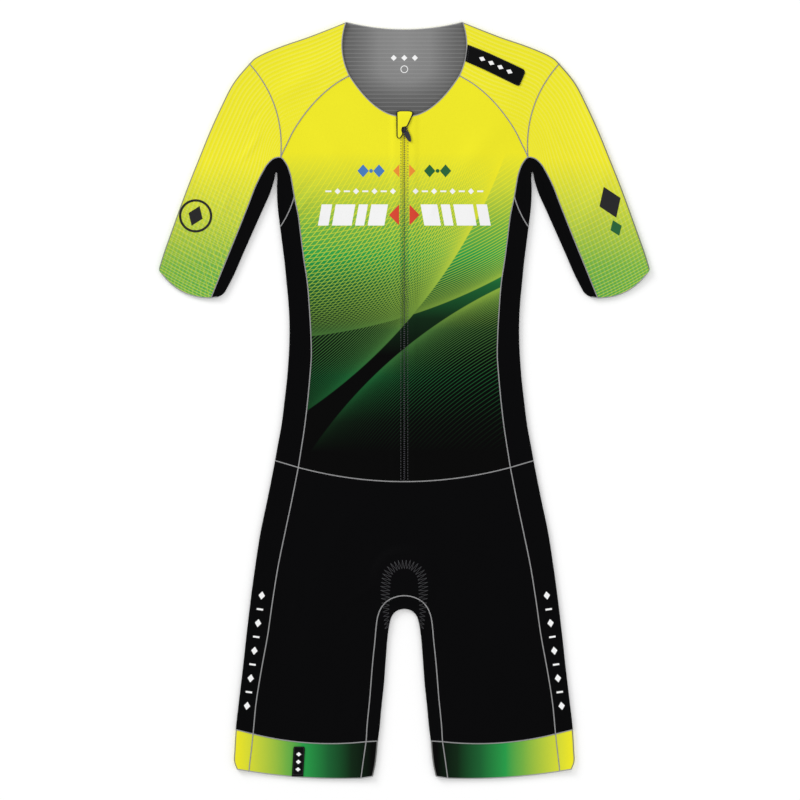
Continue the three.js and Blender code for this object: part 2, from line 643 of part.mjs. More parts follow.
/** The side panels of torso and legs. */
function addSides() {
  const torso = evenRows(SIDE_SECTIONS, "fold", "seam");
  addFoldedPair("side", torso, STRIP_STEPS, { start: true, end: true }, "darkCloth");
  const leg = legSeam.map((seam, k) => evenRow(legFold[k], seam));
  addFoldedPair("shorts_side", leg, STRIP_STEPS, { start: true, end: true }, "darkCloth");
}

/** The chest panels, from the neckline and yoke seam to the waist. */
function addFronts() {
  const neck = count(FRONT_NECK_STEPS).map((k) => {
    const x = ZIP_SLIT_HALF + ((NECK_HALF - ZIP_SLIT_HALF) * k) / FRONT_NECK_STEPS;
    return vec(x, neckY(x));
  });
  const top = [...neck, ...column(YOKE_SECTIONS, "seam")];
  const outer = [armpitPoint, ...armpitSeam, ...sideSeam.slice(1)];
  const columns = top.length - 1;
  const rows = outer.length - 1;
  const bottom = top.map((_, j) => {
    const x = ZIP_SLIT_HALF + ((WAIST_HALF - ZIP_SLIT_HALF) * j) / columns;
    return vec(x, waistY(x));
  });
  const zipEdge = outer.map((_, i) => top[0].clone().lerp(bottom[0], i / rows));
  const grid = zipEdge.map((edge, i) => top.map((_, j) => {
    const v = i / rows;
    const u = j / columns;
    const ruled = top[j].clone().multiplyScalar(1 - v).addScaledVector(bottom[j], v);
    ruled.addScaledVector(edge, 1 - u).addScaledVector(outer[i], u);
    ruled.addScaledVector(top[0], -(1 - u) * (1 - v)).addScaledVector(top[columns], -u * (1 - v));
    return ruled.addScaledVector(bottom[0], -(1 - u) * v).addScaledVector(bottom[columns], -u * v);
  }));
  addLaidPair("front", grid, { start: true, end: true, far: true }, "brightCloth");
}

/** The outline of a plate that is the same on both sides, from its half on the wearer's left. */
function wholeOutline(half) {
  const right = half.filter((point) => point.x > 0).map(mirrored).reverse();
  return insetLoop([...half, ...right]);
}

/** The back panel, whose inside shows in the neck. */
function addBack() {
  const neck = count(NECK_STEPS).map((k) => {
    const x = (YOKE_SECTIONS[0].foldX * k) / NECK_STEPS;
    return vec(x, BACK_NECK_Y + BACK_NECK_RISE * (k / NECK_STEPS) ** 2);
  });
  const shoulder = [column(YOKE_SECTIONS, "fold")[0], ...column(YOKE_SECTIONS, "back")];
  const waist = waistSeam.slice(0, -1).reverse();
  const half = [...neck, ...shoulder, ...armpitSeam, ...sideSeam.slice(1), ...waist];
  addPiece("back", plate(wholeOutline(half), 0, WALL), "insideCloth");
}

/** The points of the leg band's top seam or hem between the gusset and the side seam. */
function bandRow(section) {
  const from = vec(section.gussetX, section.gussetY);
  const to = vec(section.sideX, section.sideY);
  return count(LEG_STEPS + 1).map((k) => sectionPoint(from, to, section.bow, k / LEG_STEPS));
}

/** The front of the legs, one piece from band to band round the crotch. */
function addShortsFront() {
  const outerEdge = [...waistSeam, ...column(LEG_SECTIONS, "side")];
  const bows = [...CROTCH_SECTIONS.map(() => 0), ...LEG_SECTIONS.map((row) => row.bow)];
  const half = gussetSeam.map((gusset, i) => count(LEG_STEPS + 1).map((k) => {
    return sectionPoint(gusset, outerEdge[i], bows[i], k / LEG_STEPS);
  }));
  const right = half.slice(1).reverse().map((row) => row.map(mirrored));
  const grid = insetGrid([...right, ...half], { start: true, end: true, near: true, far: true });
  addPiece("shorts_front", laidWall(grid, WALL, 0), "darkCloth");
}

/** The back of the legs. */
function addShortsBack() {
  const bandTop = bandRow(LEG_SECTIONS.at(-1)).reverse();
  const half = [...waistSeam, ...legSeam.slice(1, -1), ...bandTop, ...gussetSeam.slice(0, -1).reverse()];
  addPiece("shorts_back", plate(wholeOutline(half), 0, WALL), "darkCloth");
}

/** The inner-leg gusset, one strip from band to band. */
function addGusset() {
  const half = gussetSeam.map((seam, k) => evenRow(innerFold[k], seam));
  const rows = [...mirrorRows(half.slice(1)).reverse(), ...half];
  addPiece("inner_gusset", foldedWall(rows, STRIP_STEPS, { start: true, end: true }), "darkCloth");
}

/** The leg bands, four pieces to a leg. */
function addBands() {
  const sewn = { start: true, end: false };
  const plainSections = BAND_SECTIONS.map((row) => ({ ...row, bow: 0 }));
  for (const [name, fold, seam] of [["band_outer", "fold", "side"], ["band_inner", "inner", "gusset"]]) {
    addFoldedPair(name, evenRows(plainSections, fold, seam), STRIP_STEPS, sewn, "bandCloth");
  }
  const grid = BAND_SECTIONS.map(bandRow);
  addLaidPair("band_front", grid, { start: true, near: true, far: true }, "bandCloth");
  const sides = column(BAND_SECTIONS, "side").slice(1, -1);
  const gussets = column(BAND_SECTIONS, "gusset").slice(1, -1);
  const outline = [...grid[0], ...sides, ...grid.at(-1).slice().reverse(), ...gussets.reverse()];
  addPiece("band_back_left", plate(insetLoop(outline), 0, WALL), "bandCloth");
  addPiece("band_back_right", plate(insetLoop(outline.map(mirrored)), 0, WALL), "bandCloth");
}

/** The seat pad between the layers. */
function addPad() {
  const edge = new THREE.EllipseCurve(PAD.x, PAD.y, PAD.halfWidth, PAD.halfLength);
  const outline = edge.getPoints(PAD_SEGMENTS).slice(0, -1);
  addPiece("chamois_pad", plate(outline, WALL + LAYER_GAP, PAD.thick), "padding");
}

/** The two zip tapes under the chest panels. */
function addTapes() {
  const outline = [
    vec(TAPE_SPLIT, TAPE_LOW_Y),
    vec(TAPE_HALF, TAPE_LOW_Y),
    vec(TAPE_HALF, TAPE_HIGH_Y),
    vec(TAPE_SPLIT, TAPE_HIGH_Y),
  ];
  addPiece("zip_tape_left", plate(outline, TAPE_BOTTOM, TAPE_THICK), "tape");
  addPiece("zip_tape_right", plate(outline.map(mirrored), TAPE_BOTTOM, TAPE_THICK), "tape");
}

/** The slider with the crown that the pull's pin goes through. */
function addSlider() {
  const { halfWidth, tailHalfWidth, halfLength, shoulder, bottom, top } = SLIDER;
  const body = new THREE.Shape();
  body.moveTo(-tailHalfWidth, -halfLength);
  body.lineTo(tailHalfWidth, -halfLength);
  body.lineTo(halfWidth, -halfLength + shoulder);
  body.lineTo(halfWidth, halfLength - shoulder);
  body.quadraticCurveTo(halfWidth, halfLength, 0, halfLength);
  body.quadraticCurveTo(-halfWidth, halfLength, -halfWidth, halfLength - shoulder);
  body.lineTo(-halfWidth, -halfLength + shoulder);
  const plateOptions = { depth: top - bottom, bevelEnabled: false, curveSegments: SLIDER_CURVE_STEPS };
  const bodyPlate = new THREE.ExtrudeGeometry(body, plateOptions).translate(0, SLIDER.y, bottom);
  const arch = new THREE.Shape();
  const foot = top - LAYER_GAP;
  arch.moveTo(-CROWN.halfLength, foot);
  arch.lineTo(-CROWN.tunnelHalf, foot);
  arch.lineTo(-CROWN.tunnelHalf, CROWN.underside);
  arch.lineTo(CROWN.tunnelHalf, CROWN.underside);
  arch.lineTo(CROWN.tunnelHalf, foot);
  arch.lineTo(CROWN.halfLength, foot);
  arch.lineTo(CROWN.halfLength, CROWN.top - CROWN.round);
  arch.quadraticCurveTo(CROWN.halfLength, CROWN.top, CROWN.halfLength - CROWN.round, CROWN.top);
  arch.lineTo(CROWN.round - CROWN.halfLength, CROWN.top);
  arch.quadraticCurveTo(-CROWN.halfLength, CROWN.top, -CROWN.halfLength, CROWN.top - CROWN.round);
  const archDepth = 2 * CROWN.halfWidth;
  const archOptions = { depth: archDepth, bevelEnabled: false, curveSegments: CROWN_CURVE_STEPS };
  const crown = new THREE.ExtrudeGeometry(arch, archOptions);
  crown.rotateX(Math.PI / 2).rotateZ(Math.PI / 2);
  crown.translate(-CROWN.halfWidth + PIN.x, SLIDER.y, 0);
  addPiece("zip_slider", joined(bodyPlate, crown), "hardware");
}

/** The leaf-shaped pull, whose pin turns in the slider's crown. */
function addPull() {
  const { thick, windowHalf, windowLength, armHalf, length, swing } = PULL;
  const leaf = new THREE.Shape();
  leaf.moveTo(-armHalf, 0);
  leaf.lineTo(-armHalf, -windowLength);
  const belly = armHalf + LEAF.swell;
  const tip = armHalf - LEAF.draw;
  leaf.bezierCurveTo(-belly, -LEAF.belly, -tip, -length, 0, -length);
  leaf.bezierCurveTo(tip, -length, belly, -LEAF.belly, armHalf, -windowLength);
  leaf.lineTo(armHalf, 0);
  leaf.lineTo(windowHalf, 0);
  leaf.lineTo(windowHalf, -windowLength);
  leaf.lineTo(-windowHalf, -windowLength);
  leaf.lineTo(-windowHalf, 0);
  const options = { depth: thick, bevelEnabled: false, curveSegments: LEAF_CURVE_STEPS };
  const plateGeometry = new THREE.ExtrudeGeometry(leaf, options).translate(0, 0, -thick / 2);
  const along = (radius, width, x) => {
    const rod = new THREE.CylinderGeometry(radius, radius, width, PIN.sides);
    return rod.rotateZ(Math.PI / 2).translate(x, 0, 0);
  };
  const armWidth = armHalf - windowHalf;
  const armMiddle = (armHalf + windowHalf) / 2;
  const pin = along(PIN.radius, 2 * windowHalf + armWidth, 0);
  const hubs = [-armMiddle, armMiddle].map((x) => along(thick / 2, armWidth, x));
  const pull = joined(plateGeometry, pin, ...hubs);
  pull.rotateZ(THREE.MathUtils.degToRad(swing)).translate(PIN.x, PIN.y, PIN.z);
  addPiece("zip_pull", pull, "hardware");
}

/** The flap over the top of the zip, rolled over the neckline at its upper end. */
function addGarage() {
  const rows = GARAGE_ROWS.map((row) => count(GARAGE_COLUMNS + 1).map((k) => {
    const x = row.left + ((row.right - row.left) * k) / GARAGE_COLUMNS;
    return new THREE.Vector3(x, row.y, row.under);
  }));
  const rise = new THREE.Vector3(0, 0, GARAGE_THICK);
  const raised = rows.map((row) => row.map((point) => point.clone().add(rise)));
  addPiece("zip_garage", closedWall(raised, rows), "brightCloth");
}

/** The strip on the left yoke and the tab on the right leg band. */
function addLabels() {
  const acrossEnd = (fromX, fromY, toX, toY) => count(LABEL_COLUMNS + 1).map((k) => {
    return vec(fromX, fromY).lerp(vec(toX, toY), k / LABEL_COLUMNS);
  });
  const badge = BADGE_ENDS.map((end) => acrossEnd(end.lowX, end.lowY, end.highX, end.highY));
  addPiece("shoulder_badge", laidWall(badge, LABEL_THICK, RIB_HEIGHT + LAYER_GAP + LABEL_THICK), "label");
  const tab = TAB_ROWS.map((row) => acrossEnd(row.left, row.y, row.right, row.y));
  addPiece("hem_tab", laidWall(tab, LABEL_THICK, LAYER_GAP + LABEL_THICK), "label");
}

addFronts();
addBack();
addYokes();
addSleeves();
addUnderarms();
addSides();
addShortsFront();
addShortsBack();
addGusset();
addBands();
addPad();
addTapes();
addSlider();
addPull();
addGarage();
addLabels();

export default suit;
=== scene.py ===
"""A short-sleeved triathlon suit, laid flat face up: its cloth, print, sewing and zip.

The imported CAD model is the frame. The tables repeat the sizes of the part's source, in
millimetres, and a mesh is made in metres. +X is the wearer's left, +Y the neck and +Z up.
"""

import logging
import math
from dataclasses import dataclass, field, replace
from enum import Enum
from typing import Sequence

import bpy
import numpy as np
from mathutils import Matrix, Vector


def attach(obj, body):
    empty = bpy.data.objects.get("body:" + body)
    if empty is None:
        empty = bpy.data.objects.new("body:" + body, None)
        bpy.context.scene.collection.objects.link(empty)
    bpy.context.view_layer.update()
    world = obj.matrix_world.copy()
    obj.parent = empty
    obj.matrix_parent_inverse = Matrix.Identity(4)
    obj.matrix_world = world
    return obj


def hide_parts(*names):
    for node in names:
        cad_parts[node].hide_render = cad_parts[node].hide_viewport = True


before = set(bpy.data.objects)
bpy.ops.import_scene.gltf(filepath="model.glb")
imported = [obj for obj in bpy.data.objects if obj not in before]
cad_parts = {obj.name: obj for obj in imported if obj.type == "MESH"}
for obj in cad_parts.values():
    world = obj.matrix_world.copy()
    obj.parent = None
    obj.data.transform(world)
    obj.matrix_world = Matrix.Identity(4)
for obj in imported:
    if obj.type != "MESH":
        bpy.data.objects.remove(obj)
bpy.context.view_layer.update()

log = logging.getLogger("triathlon_suit")

Colour = tuple[float, float, float, float]
Table = dict[str, np.ndarray]

METRE = 0.001

# Cloth
WALL = 0.9
BACK_WALL = 1.2
FOLD_RADIUS = 2.4
FOLD_RELAX = 14
EASE_LENGTH = 16
REST_TOP = 2.7
SEAM_INSET = 0.1
PANEL_SPACING = 3.5
ROW_SPACING = 4.0
STRIP_SPACING = 2.4
CUFF_CORNER = 5.0
UNDERARM_CORNER = 7.0

# How many points the panels' grids have across and along
TORSO_COLUMNS, TORSO_ROWS = 62, 176
CROTCH_ROWS, SHORTS_COLUMNS = 42, 58
BAND_ROWS, BAND_COLUMNS = 22, 56

# Ribs of the yoke and sleeve cloth
RIB_PITCH = 5.3
RIB_HEIGHT = 0.16
RIB_COLUMN = 0.88

# Waist, neck and zip
WAIST_Y = -107.4
WAIST_RISE = 18.7
WAIST_HALF = 140.2
NECK_Y = 375
NECK_RISE = 54.5
NECK_HALF = 72.9
NECK_POWER = 2.1
NECK_KNOTS = 7
BACK_NECK_Y = 490
BACK_NECK_RISE = 10
ZIP_SLIT_HALF = 3.2
TAPE_HALF = 12.5
TAPE_SPLIT = 0.2
TAPE_BOTTOM = 1.5
TAPE_TOP = 2.5
TAPE_LOW_Y = -105.5
TAPE_HIGH_Y = 372
RIDGE_HEIGHT = 1.3
RIDGE_FADE = 8
RIDGE_END_FADE = 20
PAD_X, PAD_Y = 0, -234
PAD_HALF_WIDTH, PAD_HALF_LENGTH = 31, 28
PAD_LIFT = 3.2
PAD_PLATEAU = 1.12
PAD_FADE = 0.48
SWELL_CLEAR = 16
SWELL_CLEAR_FADE = 22


def table(columns: str, rows: Sequence[Sequence[float]]) -> Table:
    """A section table.

    Args:
        columns: The columns' names, with spaces between.
        rows: A row of numbers for each section.

    Returns:
        Each column by its name.
    """
    return dict(zip(columns.split(), np.array(rows, float).T))


YOKE = table("foldX foldY seamX seamY bow backX backY backBow", [
    (77.4, 500, 72.9, 429.5, -7.3, 78.6, 495, 0),
    (102.5, 490, 91.3, 418.5, -3, 95, 471, 0),
    (130.3, 479.4, 110.5, 402.7, 0, 114, 448, 1),
    (157, 470.4, 131.6, 378.9, 3, 134, 419, 2),
    (178, 462.3, 147.5, 355, 6, 149, 388, 4),
    (192.5, 455.6, 156.3, 337, 9, 157.5, 361, 7),
    (200, 450.8, 160.8, 328, 11.5, 161.6, 339, 10.5),
    (205, 445.3, 163.5, 321.4, 14, 163.5, 321.4, 14),
])
SLEEVE = table("foldX foldY seamX seamY bow", [
    (205, 445.3, 163.5, 321.4, 14),
    (225, 421.3, 171.5, 320.4, 11),
    (243, 387, 180.5, 313, 8.5),
    (258, 353.8, 187.4, 302, 6),
    (271.5, 320.5, 196, 285, 4),
    (284.5, 288, 205.5, 260.5, 2),
    (297, 254.5, 216.5, 232.5, 0),
    (309, 221, 229, 201.5, -2.5),
    (319.5, 191, 242, 169.5, -5.5),
    (325.6, 170.5, 255.7, 135.5, -9.4),
])
ARMPIT = table("foldX foldY seamX seamY bow", [
    (168.1, 297.5, 156.8, 314, 0),
    (168.4, 284, 151.3, 301, 0),
    (167.8, 260, 147.8, 283.5, -0.8),
    (164.3, 229.2, 145.5, 269.6, -1.9),
])
UNDERSIDE = table("foldX foldY", [
    (168.9, 301.9), (170.1, 301.2), (171.1, 296.5), (172.9, 288.5), (177.8, 273.4),
    (186.5, 254), (198.5, 227), (212.5, 195.5), (226.5, 163.5), (240, 138),
])
SIDE = table("foldX foldY seamX seamY bow", [
    (164.3, 229.2, 145.5, 269.6, -1.9),
    (161.2, 205, 140.6, 246.3, -1.1),
    (158.2, 181, 136.9, 218, -0.4),
    (155.9, 157, 133.2, 189, 0),
    (153.5, 132, 128.3, 156, 0),
    (152, 105, 125.5, 121.6, 0),
    (152, 78, 123.6, 88, 0),
    (153.3, 52, 123, 58, 0),
    (155.3, 27, 125, 30, 0),
    (158.5, -1, 128.1, -3, 0),
    (163, -36, 132.3, -38, 0),
    (167.5, -60, 136.6, -66, 0),
    (171, -79.6, WAIST_HALF, WAIST_Y + WAIST_RISE, 0),
])
CROTCH = table("waistX gussetX gussetY innerX innerY", [
    (0, 0, -258.2, 0, -275.9),
    (28, 12.5, -260.2, 6, -276.7),
    (56, 23, -265.6, 11.6, -279.4),
    (84, 31, -275, 16, -284.5),
    (112, 35.3, -286.5, 18.9, -292.5),
    (WAIST_HALF, 37.3, -300, 20.6, -301.5),
])
LEG = table("foldX foldY sideX sideY gussetX gussetY innerX innerY bow", [
    (180.9, -130, 148.3, -130, 38.9, -318, 22.6, -318, 0),
    (190.3, -175, 157.8, -175, 40.8, -336, 24, -336, 0),
    (197.3, -220, 167, -220, 42.6, -355, 25.4, -355, 0),
    (203.4, -265, 174.2, -265, 44.1, -374, 26.8, -374, 0),
    (208.7, -310, 180.6, -310, 45.6, -393, 28.8, -393, 1),
    (213.4, -353, 188.8, -355, 47.5, -412, 30.8, -412, 2.5),
    (218.5, -396, 196, -400, 49.3, -431, 32.5, -431, 4.5),
    (222.9, -435.3, 200, -441.1, 50.6, -451.3, 34.9, -450.4, 6.8),
])
BAND = table("foldX foldY sideX sideY gussetX gussetY innerX innerY bow", [
    (222.9, -435.3, 200, -441.1, 50.6, -451.3, 34.9, -450.4, 6.8),
    (224.6, -462, 202.7, -466, 52.9, -467, 36.2, -466, 6),
    (224.8, -479, 204.8, -484, 55.7, -487, 38.8, -485.5, 5),
    (221.5, -487.5, 205.3, -490.3, 57.4, -499.6, 41.5, -497, 3.6),
])
SWELLS = table("x y angle along across height", [
    (96, 330, 52, 46, 15, 1.6),
    (-88, 318, 124, 52, 17, 1.9),
    (74, 190, 70, 60, 19, 1.3),
    (-92, 150, 98, 70, 18, 1.6),
    (88, 20, 28, 44, 14, 1.8),
    (-76, -38, 160, 48, 13, 1.5),
    (252, 262, 66, 52, 15, 1.8),
    (-246, 286, 116, 46, 16, 1.5),
    (138, 424, 150, 32, 14, 1.1),
    (-142, 418, 34, 36, 13, 1.3),
    (84, -176, 118, 48, 15, 1.7),
    (-92, -196, 64, 56, 16, 1.6),
    (118, -356, 96, 62, 22, 2.1),
    (-126, -330, 82, 58, 20, 1.9),
])

# Creases of the front layer: middle, direction in degrees, half length, width, bend and
# height. A negative height is a trough.
CREASES = table("x y angle half across bend height", [
    (137, 262, 128, 34, 4.5, 5, 0.9),
    (126, 286, 138, 26, 3.6, -3, -0.6),
    (-139, 258, 50, 30, 4, -4, 1.0),
    (-124, 280, 44, 38, 5, 5, -0.7),
    (-118, 236, 36, 22, 3.4, 2, 0.6),
    (104, 98, 12, 30, 5, 4, 0.7),
    (96, 62, 18, 38, 4.2, -5, 0.9),
    (-101, 84, 166, 34, 4.6, 5, 0.8),
    (-92, 46, 158, 26, 3.6, 3, -0.6),
    (58, -62, 8, 36, 5.5, 4, 0.8),
    (-62, -76, 174, 44, 5, -5, 0.7),
    (-24, 226, 84, 40, 5.2, 3, 0.5),
    (36, 266, 78, 34, 4.6, -4, 0.6),
    (204, 352, 128, 36, 5, 5, 0.9),
    (222, 300, 118, 30, 4.2, -3, -0.6),
    (-206, 338, 56, 34, 4.8, -5, 0.9),
    (-232, 262, 66, 30, 4.4, 4, 0.6),
    (-196, 372, 48, 24, 3.6, 3, -0.5),
    (66, -262, 152, 40, 4.8, 6, 1.0),
    (74, -292, 140, 34, 4, 4, 0.8),
    (-64, -254, 30, 38, 5, -6, 1.0),
    (-80, -288, 44, 30, 3.8, -4, -0.7),
    (88, -214, 164, 30, 4.2, 4, 0.6),
    (150, -150, 108, 40, 4.6, 4, 0.8),
    (-154, -140, 74, 44, 4.4, -5, 0.7),
    (140, -262, 100, 48, 5.6, 4, 0.6),
    (-146, -268, 80, 42, 5.2, -3, 0.7),
    (94, -402, 96, 34, 5, 3, 0.6),
    (-96, -404, 84, 38, 5.4, -4, 0.7),
])

# Shallow creases pressed into the underside, which rests flat
BACK_CREASES = table("x y angle half across bend height", [
    (60, 300, 70, 52, 6, 5, 0.4),
    (-72, 262, 108, 58, 5, -6, 0.45),
    (34, 96, 92, 62, 7, 4, 0.35),
    (-44, 20, 84, 54, 6, 5, 0.4),
    (86, -60, 30, 40, 5, -4, 0.4),
    (-90, -170, 62, 48, 6, 5, 0.45),
    (108, -240, 112, 52, 6, -5, 0.4),
    (-124, -352, 84, 46, 5, 4, 0.35),
    (122, -380, 98, 44, 6, -4, 0.4),
])


def smooth(share: np.ndarray | float) -> np.ndarray:
    """Rises smoothly from 0 to 1 as the share goes from 0 to 1."""
    clamped = np.clip(share, 0, 1)
    return clamped * clamped * (3 - 2 * clamped)


def waist_y(x: np.ndarray) -> np.ndarray:
    """The waist seam's height at a distance from the centre line."""
    return WAIST_Y + WAIST_RISE * (x / WAIST_HALF) ** 2


def neck_y(x: np.ndarray) -> np.ndarray:
    """The front neckline's height at a distance from the centre line."""
    return NECK_Y + NECK_RISE * (np.abs(x) / NECK_HALF) ** NECK_POWER


def points_of(sections: Table, name: str) -> np.ndarray:
    """The plan points of one pair of a table's columns."""
    return np.column_stack([sections[f"{name}X"], sections[f"{name}Y"]])


@dataclass(frozen=True)
class Line:
    """A smooth line through a table's points, read by knot number.

    The first two columns are x and y in plan. More columns, such as a bow, go with them.
    """

    points: np.ndarray

    def at(self, knots: np.ndarray) -> np.ndarray:
        """Reads the line.

        Args:
            knots: Knot numbers, which may lie between two knots.

        Returns:
            The line's point at each of them.
        """
        steps = np.linalg.norm(np.diff(self.points[:, :2], axis=0), axis=1)[:, None]
        slopes = np.diff(self.points, axis=0) / steps
        turns = (slopes[:-1] * steps[1:] + slopes[1:] * steps[:-1]) / (steps[:-1] + steps[1:])
        tangents = np.vstack([slopes[:1], turns, slopes[-1:]])
        start = np.clip(np.floor(knots).astype(int), 0, len(steps) - 1)
        t = (knots - start)[:, None]
        reach = steps[start]
        near = (1 + 2 * t) * (1 - t) ** 2 * self.points[start]
        near += t * (1 - t) ** 2 * reach * tangents[start]
        far = t * t * (3 - 2 * t) * self.points[start + 1]
        return near + far - t * t * (1 - t) * reach * tangents[start + 1]

    def knots(self, first: float, last: float, spacing: float) -> np.ndarray:
        """Divides a stretch of the line.

        Args:
            first: The knot where the stretch starts.
            last: The knot where it ends.
            spacing: The widest step along the line.

        Returns:
            The knot numbers, from first to last.
        """
        steps = np.linalg.norm(np.diff(self.points[:, :2], axis=0), axis=1)
        low, high = sorted((first, last))
        found = [low]
        for k in range(int(low), int(high)):
            count = max(1, math.ceil(steps[k] / spacing))
            found.extend(k + np.arange(1, count + 1) / count)
        return np.array(found if first < last else found[::-1])


def mirrored_line(half: np.ndarray) -> Line:
    """A line through both sides of the suit, from its half on the wearer's left."""
    return Line(np.vstack([half[:0:-1] * (-1, 1), half]))


def between(values: np.ndarray, knots: np.ndarray) -> np.ndarray:
    """A table column's values at knot numbers, on a smooth line through them."""
    flat = np.column_stack([np.arange(len(values)), np.zeros(len(values)), values])
    return Line(flat).at(knots)[:, 2]


# Lines that neighbouring pieces share. A comment gives each one's knots.
SLEEVE_SEAM = points_of(SLEEVE, "seam")
SLEEVE_KNOTS = len(SLEEVE_SEAM) - 1
YOKE_KNOTS = len(YOKE["bow"]) - 1
ARMPIT_KNOTS = SLEEVE_KNOTS + len(ARMPIT["foldX"])
SIDE_KNOTS = ARMPIT_KNOTS + len(SIDE["foldX"]) - 1
LEG_KNOTS = len(LEG["bow"])
CROTCH_KNOTS = len(CROTCH["waistX"]) - 1
HALF_KNOTS = CROTCH_KNOTS + LEG_KNOTS
BAND_KNOTS = len(BAND["bow"]) - 1

# Cuff, armpit, top of the side panel, waist
UNDERARM_LINE = Line(np.vstack([
    SLEEVE_SEAM[::-1], points_of(ARMPIT, "seam"), points_of(SIDE, "seam")[1:],
]))
# Cuff, armpit, side, waist, leg, hem
OUTER_FOLD = Line(np.vstack([
    points_of(UNDERSIDE, "fold")[::-1], points_of(ARMPIT, "fold"), points_of(SIDE, "fold")[1:],
    points_of(LEG, "fold"), points_of(BAND, "fold")[1:],
]))
# Neck, sleeve head, cuff
SHOULDER_FOLD = Line(np.vstack([points_of(YOKE, "fold"), points_of(SLEEVE, "fold")[1:]]))
YOKE_SEAM = Line(points_of(YOKE, "seam"))
YOKE_BACK_SEAM = Line(points_of(YOKE, "back"))
SHOULDER_BOWS = np.concatenate([YOKE["bow"], SLEEVE["bow"][1:]])
# Waist, leg, hem
LEG_SIDE = Line(np.vstack([
    points_of(SIDE, "seam")[-1:], points_of(LEG, "side"), points_of(BAND, "side")[1:],
]))
# One hem, crotch, the other hem
GUSSET_SEAM = mirrored_line(np.vstack([
    points_of(CROTCH, "gusset"), points_of(LEG, "gusset"), points_of(BAND, "gusset")[1:],
]))
INNER_FOLD = mirrored_line(np.vstack([
    points_of(CROTCH, "inner"), points_of(LEG, "inner"), points_of(BAND, "inner")[1:],
]))
MIDDLE_KNOT = HALF_KNOTS + BAND_KNOTS
LEG_BOWS = np.concatenate([np.zeros(CROTCH_KNOTS + 1), LEG["bow"]])
UNDERARM_BOWS = np.concatenate([np.zeros(SLEEVE_KNOTS + 1), ARMPIT["bow"], SIDE["bow"][1:]])


class Layer(Enum):
    """Which layer of the suit a piece lies in, or a seam lies on."""

    FRONT = "front"
    BACK = "back"


class Side(Enum):
    """The wearer's side, as the sign of x."""

    LEFT = 1
    RIGHT = -1


def fold_stretches() -> tuple[np.ndarray, np.ndarray]:
    """The straight stretches of the folds, on the wearer's left.

    Returns:
        The stretches' starts and their ends.
    """
    lines = [SHOULDER_FOLD.points, OUTER_FOLD.points, INNER_FOLD.points[MIDDLE_KNOT:]]
    starts = np.vstack([line[:-1] for line in lines])
    return starts, np.vstack([line[1:] for line in lines])


FOLD_STARTS, FOLD_ENDS = fold_stretches()


def fold_distance(x: np.ndarray, y: np.ndarray) -> np.ndarray:
    """How far plan points lie from a fold.

    Args:
        x: The points' x.
        y: The points' y.

    Returns:
        Each point's distance from the nearest fold.
    """
    spots = np.column_stack([np.abs(x).ravel(), y.ravel()])
    nearest = np.full(len(spots), np.inf)
    for start, end in zip(FOLD_STARTS, FOLD_ENDS):
        along = end - start
        share = np.clip((spots - start) @ along / (along @ along), 0, 1)[:, None]
        nearest = np.minimum(nearest, np.linalg.norm(spots - start - share * along, axis=1))
    return nearest.reshape(x.shape)


def swell_height(x: np.ndarray, y: np.ndarray) -> np.ndarray:
    """The low swells of the front layer.

    Args:
        x: The points' x.
        y: The points' y.

    Returns:
        The swells' height at each point.
    """
    height = np.zeros_like(x)
    for k, angle in enumerate(np.radians(SWELLS["angle"])):
        dx, dy = x - SWELLS["x"][k], y - SWELLS["y"][k]
        along = (dx * math.cos(angle) + dy * math.sin(angle)) / SWELLS["along"][k]
        across = (dy * math.cos(angle) - dx * math.sin(angle)) / SWELLS["across"][k]
        height += SWELLS["height"][k] * np.exp(-along * along - across * across)
    return height * smooth((np.abs(x) - SWELL_CLEAR) / SWELL_CLEAR_FADE)


def crease_height(creases: Table, x: np.ndarray, y: np.ndarray) -> np.ndarray:
    """The height of some creases at plan points.

    Args:
        creases: A table of creases.
        x: The points' x.
        y: The points' y.

    Returns:
        The height at each point, which runs out to nothing at a crease's ends.
    """
    height = np.zeros_like(x)
    for k, angle in enumerate(np.radians(creases["angle"])):
        dx, dy = x - creases["x"][k], y - creases["y"][k]
        along = (dx * math.cos(angle) + dy * math.sin(angle)) / creases["half"][k]
        bowed = creases["bend"][k] * (1 - along * along)
        across = (dy * math.cos(angle) - dx * math.sin(angle) - bowed) / creases["across"][k]
        taper = np.clip(1 - along * along, 0, 1) ** 2
        height += creases["height"][k] * taper * np.exp(-across * across)
    return height


def cloth_top(x: np.ndarray, y: np.ndarray) -> np.ndarray:
    """The front layer's outer face, creases and all.

    Args:
        x: The points' x.
        y: The points' y.

    Returns:
        The face's height at each point.
    """
    free = np.maximum(0, fold_distance(x, y) - FOLD_RADIUS)
    from_fold = (2 * FOLD_RADIUS - REST_TOP) * np.exp(-free / FOLD_RELAX)
    over_zip = RIDGE_HEIGHT * (1 - smooth((np.abs(x) - TAPE_HALF) / RIDGE_FADE))
    over_zip *= 1 - smooth((TAPE_LOW_Y - y) / RIDGE_END_FADE)
    reach = np.hypot((x - PAD_X) / PAD_HALF_WIDTH, (y - PAD_Y) / PAD_HALF_LENGTH)
    over_pad = PAD_LIFT * (1 - smooth((reach - PAD_PLATEAU) / PAD_FADE))
    lifted = over_zip + over_pad + swell_height(x, y) + crease_height(CREASES, x, y)
    return REST_TOP + from_fold + lifted * smooth(free / EASE_LENGTH)


def raised(plan: np.ndarray, height: np.ndarray | float) -> np.ndarray:
    """Plan points with a height."""
    return np.dstack([plan, np.broadcast_to(height, plan.shape[:2])])


